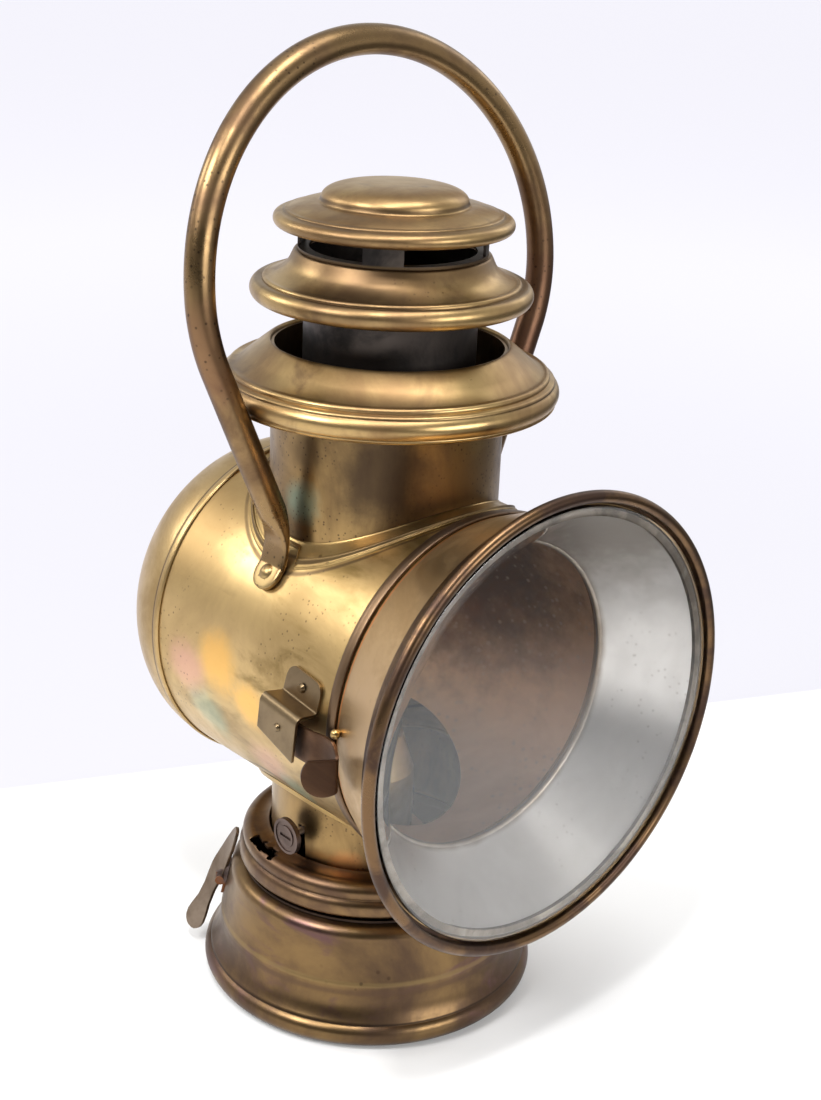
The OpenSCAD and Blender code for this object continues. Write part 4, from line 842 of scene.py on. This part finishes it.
# %% Flange
def flange(name, reach, hole, side, notch=None):
    """Points (p cos a, p sin a, axis + side * sqrt((R + n)^2 - x^2)) for a closed profile of
    p from the hole to the reach and the stand-off n. A notch draws the reach in beside x."""
    q_n = np.array([(0, 0.05), (0, 1.0), (0.07, 0.74), (0.40, 0.66), (0.68, 0.64),
                    (0.74, 0.60), (0.79, 1.15), (0.84, 1.15), (0.88, 0.55), (0.93, 0.45),
                    (0.96, 0.55), (0.99, 0.45), (0.99, 0.05)])
    loop = softened(q_n * [8, 1], 0.16, 4) / [8, 1]
    turn = 2 * np.pi * np.arange(240) / 240
    out = np.full_like(turn, reach)
    if notch:
        limit, half = notch
        y = np.abs(reach * np.sin(turn))
        gate = np.clip((half + 1.2 - y) / 1.2, 0, 1)
        gate = gate**2 * (3 - 2 * gate)
        drawn = np.minimum(reach, limit / np.maximum(np.abs(np.cos(turn)), 1e-3))
        out = reach + (drawn - reach) * gate
    p = hole + loop[:, :1] * (out - hole)
    x, y = p * np.cos(turn), p * np.sin(turn)
    z = DRUM_Z + side * np.sqrt((DRUM_R + FIT + loop[:, 1:]) ** 2 - x**2)
    return piece(name, "head", saddle_brass, np.stack([x, y, z], -1),
                 lattice(len(loop), len(turn), True, True),
                 stands_for=({1: "neck_saddle", -1: "lower_saddle"}[side],))


EAR_NOTCH = (35.9, 5.7)
flange("flange_upper", 40.7, NECK_R + FIT, 1, EAR_NOTCH)
flange("flange_lower", 37.0, LOW_NECK_R + FIT, -1)

# %% [markdown]
# ## The handle
# A brass tube is bent to a hoop that narrows into two legs, and each end is hammered flat into
# an ear that follows the drum. Its centre line is four arcs that meet smoothly. A section with
# two half-sizes and a squareness is carried along it, from a round tube to the flat ear.

# %% Handle
HOOP_R, HOOP_Z, SHOULDER_R, FOOT_BEND = 64.8, 229.6, 54.0, 27.0
LEG_X, TUBE, EAR_W, EAR_T, RIVET_TURN = 40.6, 4.25, 10.5, 2.2, 37.0
HANDLE_LEAN, HANDLE_SWAY = 15.0, 1.0
ear_path_r = DRUM_R + FIT + 0.1 + EAR_T / 2
foot_turn = math.degrees(math.acos(LEG_X / ear_path_r))
foot_top = DRUM_Z + ear_path_r * math.sin(math.radians(foot_turn)) + 1.2
foot_z = foot_top + 4
shoulder_x = HOOP_R - SHOULDER_R
span = (LEG_X + FOOT_BEND - shoulder_x, HOOP_Z - foot_z)
leg_turn = math.degrees(math.atan2(span[1], span[0]) -
                        math.acos((SHOULDER_R + FOOT_BEND) / math.hypot(*span)))
half_line = np.concatenate([
    arc((0, HOOP_Z), HOOP_R, 90, 0, 60), arc((shoulder_x, HOOP_Z), SHOULDER_R, 0, -leg_turn, 26)[1:],
    arc((LEG_X + FOOT_BEND, foot_z), FOOT_BEND, 180 - leg_turn, 180, 26)[1:],
    bend((LEG_X, foot_z), (LEG_X + 0.1, foot_top + 0.6), arc((0, DRUM_Z), ear_path_r, foot_turn - 2.5, 0, 2)[0], 14)[1:],
    arc((0, DRUM_Z), ear_path_r, foot_turn - 3, RIVET_TURN - math.degrees(EAR_W / 2 / ear_path_r), 26)])
centre_line = np.concatenate([half_line[:0:-1] * [-1, 1], half_line])


def handle_grid(line, around=36):
    """Sections t |cos|^e and w |sin|^e carried along the line, t in the hoop's plane and w
    across it. Distance from the end decides how far the tube is flattened."""
    step = np.linalg.norm(np.diff(line, axis=0), axis=1)
    run = np.concatenate([[0], np.cumsum(step)])
    end = np.minimum(run, run[-1] - run)[:, None]
    flat = 1 - np.clip((end - 13.5) / 13, 0, 1)
    flat = flat**2 * (3 - 2 * flat)
    t = TUBE + (EAR_T / 2 - TUBE) * flat
    w = TUBE + (EAR_W / 2 - TUBE) * flat
    squareness = 1 + (0.45 - 1) * flat
    tip = np.clip(1 - end / (EAR_W / 2), 0, 1)
    w = w * np.sqrt(np.maximum(1 - tip**2, 0.0))
    t = t * np.where(end < 0.4, 0.7, 1.0)
    run_way = np.gradient(line, axis=0)
    run_way /= np.linalg.norm(run_way, axis=1, keepdims=True)
    q = 2 * np.pi * np.arange(around) / around
    out = t * np.sign(np.cos(q)) * np.abs(np.cos(q)) ** squareness
    across = w * np.sign(np.sin(q)) * np.abs(np.sin(q)) ** squareness
    x = line[:, :1] + out * run_way[:, 1:]
    z = line[:, 1:] - out * run_way[:, :1]
    rise = np.clip((z - foot_top) / (HOOP_Z + HOOP_R - foot_top), 0, None)
    return np.stack([x + rise * HANDLE_SWAY, across + rise**2 * HANDLE_LEAN, z], -1)


grid = handle_grid(centre_line)
caps = capped(grid)
piece("handle_tube", "head", handle_bronze, caps, lattice(len(caps), caps.shape[1], False, True),
      stands_for=("handle",), sharp=60)

# %% [markdown]
# ## The door's rim
# The cone ends in a sleeve that is rolled round a wire, so the rim is a round bead with a short
# band behind it. The glass sits behind the bead's inner side.


# %% Rim
def cone_r(h):
    """Radius of the cone's outside at the distance h in front of the chimney."""
    slope = (CONE_FRONT_R - CONE_BACK_R) / (CONE_FRONT_H - CONE_BACK_H)
    return CONE_BACK_R + slope * (h - CONE_BACK_H)


SLEEVE_T = 0.5
SLIM = 1.85
slim_r = RIM_R + RIM_BEAD - SLIM
seat_r = slim_r - SLIM + 0.3
rim_loop = np.concatenate([
    softened([(cone_r(SLEEVE_BACK) + 0.05, SLEEVE_BACK), (cone_r(SLEEVE_BACK) + SLEEVE_T, SLEEVE_BACK),
              (cone_r(RIM_H - 3.4) + SLEEVE_T, RIM_H - 3.4)], 0.3, 4),
    arc((slim_r, RIM_H + 0.3), SLIM, -84, 150, 34), [(seat_r, RIM_H + 0.4), (seat_r, CONE_FRONT_H + 0.15),
    (cone_r(CONE_FRONT_H) + 0.05, CONE_FRONT_H + 0.1)]])
grid, quads = spun(rim_loop, turns=240)
piece("rim_rolled", "door", rim_bronze, on_drum(grid), quads, stands_for=("front_rim",))

# %% [markdown]
# ## The glass
# The door's glass is a thick disc whose edge was ground thinner. Its front is flat in the middle
# and falls along a smooth curve to the edge, so it bends what lies behind it only near the rim.

# %% Glass
glass_low, glass_high = edges("front_glass")
GLASS_R, EDGE_T, BEVEL = (glass_high[0] - glass_low[0]) / 2, 2.3, 3.6
glass_back, glass_front = -glass_high[1], -glass_low[1]
t = np.linspace(0, 1, 24)[:, None]
bevel = np.concatenate([GLASS_R - 0.2 - BEVEL * t,
                        glass_back + EDGE_T + (glass_front - glass_back - EDGE_T) * (1 - (1 - t) ** 1.5)], 1)
glass_loop = np.concatenate([[(0, glass_back), (GLASS_R - 0.2, glass_back), (GLASS_R, glass_back + 0.2),
                              (GLASS_R, glass_back + EDGE_T - 0.2)], bevel, [(0, glass_front)]])
grid, quads = spun(glass_loop, 240, closed=False)
piece("glass_disc", "door", glass, on_drum(grid), quads, stands_for=("front_glass",))

# %% [markdown]
# ## The band at the drum's mouth
# A dark flat band is soldered round the drum's front edge, open where the hinge's leaf lies. Its
# section is a strip with round corners, carried round the drum from one side of the leaf to
# the other.

# %% Front band
BAND_BACK, BAND_FRONT, BAND_R, LEAF_HALF = DRUM_FRONT - 4.0, DRUM_FRONT - 0.5, DRUM_R + 1.3, 4.6
band_in = DRUM_R + FIT
band_loop = softened([(band_in, BAND_BACK + 1.5), (band_in, BAND_BACK), (BAND_R - 0.2, BAND_BACK),
                      (BAND_R + 0.1, (BAND_BACK + BAND_FRONT) / 2), (BAND_R - 0.2, BAND_FRONT),
                      (band_in, BAND_FRONT), (band_in, BAND_BACK + 1.6)], 0.6)
gap = math.asin(LEAF_HALF / DRUM_R)
turn = np.linspace(gap, 2 * np.pi - gap, 220)[:, None]
r, h = band_loop[:, 0], band_loop[:, 1]
grid = on_drum(np.stack([r * np.cos(turn), r * np.sin(turn), h + 0 * turn], -1))
grid = capped(grid)
piece("mouth_band", "head", band_bronze, grid, lattice(grid.shape[0], grid.shape[1], False, True),
      stands_for=("drum_front_ring",))

# %% [markdown]
# ## The silvered bowl
# Behind the hood lies a deep oval bowl, with one hole for the burner and one for the chimney.
# The bowl is an oval turned about the drum's axis. Points that fall into a hole are moved out
# to its edge along the surface, so the edge is a clean circle from above.

# %% Bowl
BOWL_R, BOWL_DEPTH, BOWL_HOLE, BOWL_SHEET = DRUM_R - 1.25, 87.7, 28.0, 0.5
bowl_edge = DRUM_FRONT - 2
a = np.radians(np.linspace(0, 90, 90))
bowl_line = np.stack([BOWL_R * np.cos(a), bowl_edge - BOWL_DEPTH * np.sin(a)], 1)
bowl_line[-1, 0] = 0
grid, quads = spun(np.concatenate([[(BOWL_R, bowl_edge + 1)], bowl_line]), 240, closed=False)
grid = on_drum(grid)
away = np.hypot(grid[..., 0], grid[..., 1])
inside = away < BOWL_HOLE
push = np.where(inside, BOWL_HOLE / np.maximum(away, 1e-6), 1.0)
x, y = grid[..., 0] * push, grid[..., 1] * push
radius = BOWL_R * np.sqrt(np.clip(1 - (np.maximum(bowl_edge + y, 0) / BOWL_DEPTH) ** 2, 0, 1))
on_bowl = DRUM_Z + np.sign(grid[..., 2] - DRUM_Z) * np.sqrt(np.clip(radius**2 - x**2, 0, None))
grid = np.stack([x, y, np.where(inside, on_bowl, grid[..., 2])], -1)
quads = quads[~inside.reshape(-1)[quads].all(1)]
piece("bowl_silvered", "head", bowl_silver, grid, quads, stands_for=("reflector_bowl",), wall=BOWL_SHEET)

# %% [markdown]
# ## The latch
# A riveted tab goes over into a small roof and a face that hides a sprung strip. Both are bent
# sheet, so each is drawn as a bent line and drawn out across its width, where its ends follow
# the tab's round corners, the slanted lower edge and the round thumb tab.

# %% Cover
LATCH_Y, LATCH_Z, COVER_TURN = 29.2, DRUM_Z + 9.3, math.radians(7)
COVER_HALF, TAB_HALF, TAB_TOP, TAB_CORNER, COVER_T = 8.2, 7.7, 4.75, 3.5, 0.9
COVER_REAR, COVER_FRONT, ROOF = -13.8, -17.0, -4.15
cover_out = -edges("latch_cover")[0][0] - COVER_T / 2
tab_out = DRUM_R + FIT + COVER_T / 2
bends = softened([(tab_out, 0), (tab_out, ROOF), (cover_out - 1.0, ROOF + 1.1), (cover_out, ROOF - 0.5),
                  (cover_out, -9)], [0, 1.4, 0.9, 0.9, 0], 8)
u = np.linspace(-1, 1, 41)[None, :]
corner = np.clip(np.abs(u) * TAB_HALF - (TAB_HALF - TAB_CORNER), 0, TAB_CORNER)
top = TAB_TOP - TAB_CORNER + np.sqrt(TAB_CORNER**2 - corner**2)
low = COVER_FRONT + (COVER_REAR - COVER_FRONT) * (u + 1) / 2
t = np.linspace(0, 1, 10)[:-1, None]
down = np.concatenate([top * (1 - t), bends[:, 1:] + 0 * u, (-9 + (low + 9) * (1 - t))[::-1]])
out = np.concatenate([tab_out + 0 * t, bends[:, :1], cover_out + 0 * t]) + 0 * u
on_tab = np.clip((cover_out - 1 - out) / (cover_out - 1 - tab_out), 0, 1)
along = u * (COVER_HALF + (TAB_HALF - COVER_HALF) * on_tab)
y = -LATCH_Y + along * math.cos(COVER_TURN) - down * math.sin(COVER_TURN)
z = LATCH_Z + along * math.sin(COVER_TURN) + down * math.cos(COVER_TURN)
out = out + on_tab * (np.sqrt(tab_out**2 - (z - DRUM_Z) ** 2) - tab_out)
piece("latch_roof", "head", latch_bronze, np.stack([-out, y, z], -1), lattice(*out.shape),
      stands_for=("latch_cover",), wall=COVER_T)

# %% Sprung strip
STRIP_T, STRIP_H, THUMB_R, THUMB_IN = 0.9, 10.5, 6.6, 3.8
strip_out = cover_out - COVER_T / 2 - 1.6 - STRIP_T / 2
strip_low = LATCH_Z - 6.7 - STRIP_H
thumb_z = strip_low + 2.2
THUMB_TOP = 4.6
THUMB_WAY = np.array([-0.866, 0.5])
bend_at = np.array([-strip_out, -52.3])
plan = softened([(-54.2, -25.4), (-strip_out, -25.4), (-strip_out, -40.5), (1.0 - strip_out, -44.0),
                 (0.9 - strip_out, -48.0), bend_at, bend_at + THUMB_WAY * 2.4],
                [0, 0.8, 1.5, 1.5, 1.5, 1.6, 0], 8)
reach = THUMB_IN + THUMB_R * np.sin(np.radians(np.linspace(-12, 89, 26)))[:, None]
plan = np.concatenate([plan[:-1], bend_at + THUMB_WAY * reach])
run = np.concatenate([[0], np.cumsum(np.linalg.norm(np.diff(plan, axis=0), axis=1))])
past = (run - run[-1] + THUMB_IN + THUMB_R)[:, None]
half = np.sqrt(np.clip(THUMB_R**2 - (np.maximum(past, 0) - THUMB_IN) ** 2, 0.01, None))
share = np.clip((past + 3.5) / 4.5, 0, 1)
share = share**2 * (3 - 2 * share)
low = strip_low + share * (thumb_z - half - strip_low)
high = strip_low + STRIP_H + share * (thumb_z + np.minimum(half, THUMB_TOP) - strip_low - STRIP_H)
z = low + (high - low) * np.linspace(0, 1, 13)
grid = np.stack([plan[:, :1] + 0 * z, plan[:, 1:] + 0 * z, z], -1)
piece("latch_strip", "latch", thumb_bronze, grid, lattice(*z.shape), stands_for=("latch_spring",),
      wall=STRIP_T)

# %% [markdown]
# ## The collar and the lower neck
# The collar is spun over with a fat round shoulder and a second bead below it. A slit in the
# shoulder lets the wick's knob through, and its torn edge is left by dropping faces where a wavy
# line crosses them. The neck is a plain tube that ends on the drum: its top edge is the drum's
# circle again, and a slot at its foot goes over the spindle.

# %% Collar
COLLAR_SEAT, COLLAR_T = edges("lower_collar")[0][2], 0.9
SHOULDER_AT, SHOULDER, STEP_R, SKIRT_R = (38.5, 47.5), 2.8, 40.9, 42.4
collar_face = np.concatenate([
    softened([(LOW_NECK_R + FIT + 0.5, 51.0), (LOW_NECK_R + 1.3, 50.6), (36.2, 49.9)], 0.6),
    arc(SHOULDER_AT, SHOULDER, 105, -28, 26),
    softened([(STEP_R + 0.05, 46.0), (STEP_R, 45.5), (STEP_R + 0.7, 45.0), (SKIRT_R - 0.2, 43.9),
              (SKIRT_R, 42.2), (SKIRT_R - 0.1, 41.0), (SKIRT_R - 0.9, 40.4)], 1.2)])
grid, quads = spun(collar_face, 360, closed=False)
middle = grid.reshape(-1, 3)[quads].mean(1)
turned = np.degrees(np.arctan2(middle[:, 1], -middle[:, 0]))
out = np.hypot(middle[:, 0], middle[:, 1])
step = np.round(turned / 3)
torn = 0.5 * np.sin(step * 2.1) + 0.35 * np.sin(step * 5.3 + 1)
slit = (turned > 1) & (turned < 22) & (out > 36.9 + torn * 0.5) & (out < 40.3 + torn * 0.6)
slit &= middle[:, 2] > SHOULDER_AT[1]
piece("collar_spun", "head", collar_bronze, grid, quads[~slit], stands_for=("lower_collar",), wall=COLLAR_T)

# %% Lower neck
NECK_T, SLOT_HALF, SLOT_TOP = 0.8, 1.4, DRUM_Z - 54.8 + 1.6
neck_low = edges("lower_neck")[0][2]
slot_y = float(np.mean([edges("wick_spindle")[0][1], edges("wick_spindle")[1][1]]))
tube_r = LOW_NECK_R - NECK_T / 2
a = 2 * np.pi * np.arange(240) / 240
x, y = tube_r * np.cos(a), tube_r * np.sin(a)
top = DRUM_Z - np.sqrt((DRUM_R + FIT) ** 2 - x**2) - 0.1
slot = np.clip((SLOT_HALF + 0.6 - np.abs(y - slot_y)) / 0.6, 0, 1) * (x < 0)
foot = neck_low + (SLOT_TOP - neck_low) * slot
z = foot + (top - foot) * np.linspace(0, 1, 12)[:, None]
piece("neck_low_tube", "head", neck_brass, np.stack([x + 0 * z, y + 0 * z, z], -1),
      lattice(*z.shape, False, True), stands_for=("lower_neck",), wall=NECK_T)

# %% [markdown]
# ## The clip at the font
# A thin lever hooks over the collar and holds the font. It was hammered from a strip: narrow in
# its middle, round at its thumb end and twisted a little by use. Its width grows and shrinks
# along a bent centre line, and its section turns about that line.

# %% Clip
CLIP_AZIMUTH, LEVER_T = math.radians(135), 1.1
lever_line = softened([(43.9, 43.6), (46.0, 38.3), (51.1, 26.5), (55.2, 15.5), (59.6, 5.4)], [0, 3, 6, 5, 0], 14)
run = np.concatenate([[0], np.cumsum(np.linalg.norm(np.diff(lever_line, axis=0), axis=1))])
even = run[-1] * (1 - (1 - np.linspace(0, 1, 70)) ** 1.6)
lever_line = np.stack([np.interp(even, run, lever_line[:, 0]), np.interp(even, run, lever_line[:, 1])], 1)
run = np.concatenate([[0], np.cumsum(np.linalg.norm(np.diff(lever_line, axis=0), axis=1))])
way = np.gradient(lever_line, axis=0)
way /= np.linalg.norm(way, axis=1, keepdims=True)
share = run / run[-1]
lever_half = np.interp(share, [0, 0.02, 0.06, 0.14, 0.40, 0.58, 0.72, 0.82, 0.89, 0.94, 0.97, 0.99, 1.0],
                       [1.2, 2.0, 2.8, 3.3, 3.6, 2.7, 2.9, 3.7, 4.0, 3.6, 2.8, 1.9, 0.8])
twist = np.radians(np.interp(share, [0, 0.35, 1], [12, 36, 52]))
v = np.linspace(-1, 1, 9)[None, :] * lever_half[:, None]
side, lift = v * np.cos(twist)[:, None], v * np.sin(twist)[:, None]
r = lever_line[:, :1] + lift * way[:, 1:]
h = lever_line[:, 1:] - lift * way[:, :1]
east, north = math.cos(CLIP_AZIMUTH), math.sin(CLIP_AZIMUTH)
grid = np.stack([r * east - side * north, r * north + side * east, h], -1)
piece("clip_lever", "clip", pewter, grid, lattice(*v.shape), stands_for=("font_clip",), wall=LEVER_T)

# %% [markdown]
# ## The font
# The oil font is one spun sheet: a fat rolled foot, a hollow sweep above it, a soft ridge, a wall
# that leans in a little, and a round shoulder under the collar.

# %% Font
FONT_SHEET = 0.8
FOOT_R, FOOT_BEAD_R, FOOT_BEAD, FOOT_BEAD_Z = 49.6, 49.9, 4.0, 4.4
RIDGE_R, RIDGE_Z, WALL_TOP_R, WALL_TOP_Z, FONT_TOP = 48.2, 20.4, 45.4, 33.6, 38.9
font_face = np.concatenate([
    [(WALL_TOP_R - 5.0, FONT_TOP - 0.8)], arc((WALL_TOP_R - 3.9, WALL_TOP_Z + 0.2), 3.9, 72, 5, 14),
    softened([(WALL_TOP_R + 0.02, WALL_TOP_Z - 0.4), (RIDGE_R, RIDGE_Z + 0.6), (RIDGE_R + 0.45, RIDGE_Z - 0.8),
              (RIDGE_R + 0.5, RIDGE_Z - 2.5)], 0.9),
    bend((RIDGE_R + 0.55, RIDGE_Z - 3.0), (RIDGE_R + 0.5, FOOT_BEAD_Z + 8.0),
         (FOOT_BEAD_R + 1.9, FOOT_BEAD_Z + FOOT_BEAD + 0.1), 18),
    arc((FOOT_BEAD_R, FOOT_BEAD_Z), FOOT_BEAD, 58, -80, 30), [(FOOT_R, 0.0)]])
piece("font_body", "font", font_bronze, *spun(sheet(font_face, FONT_SHEET), turns=220),
      stands_for=("font_shell",))
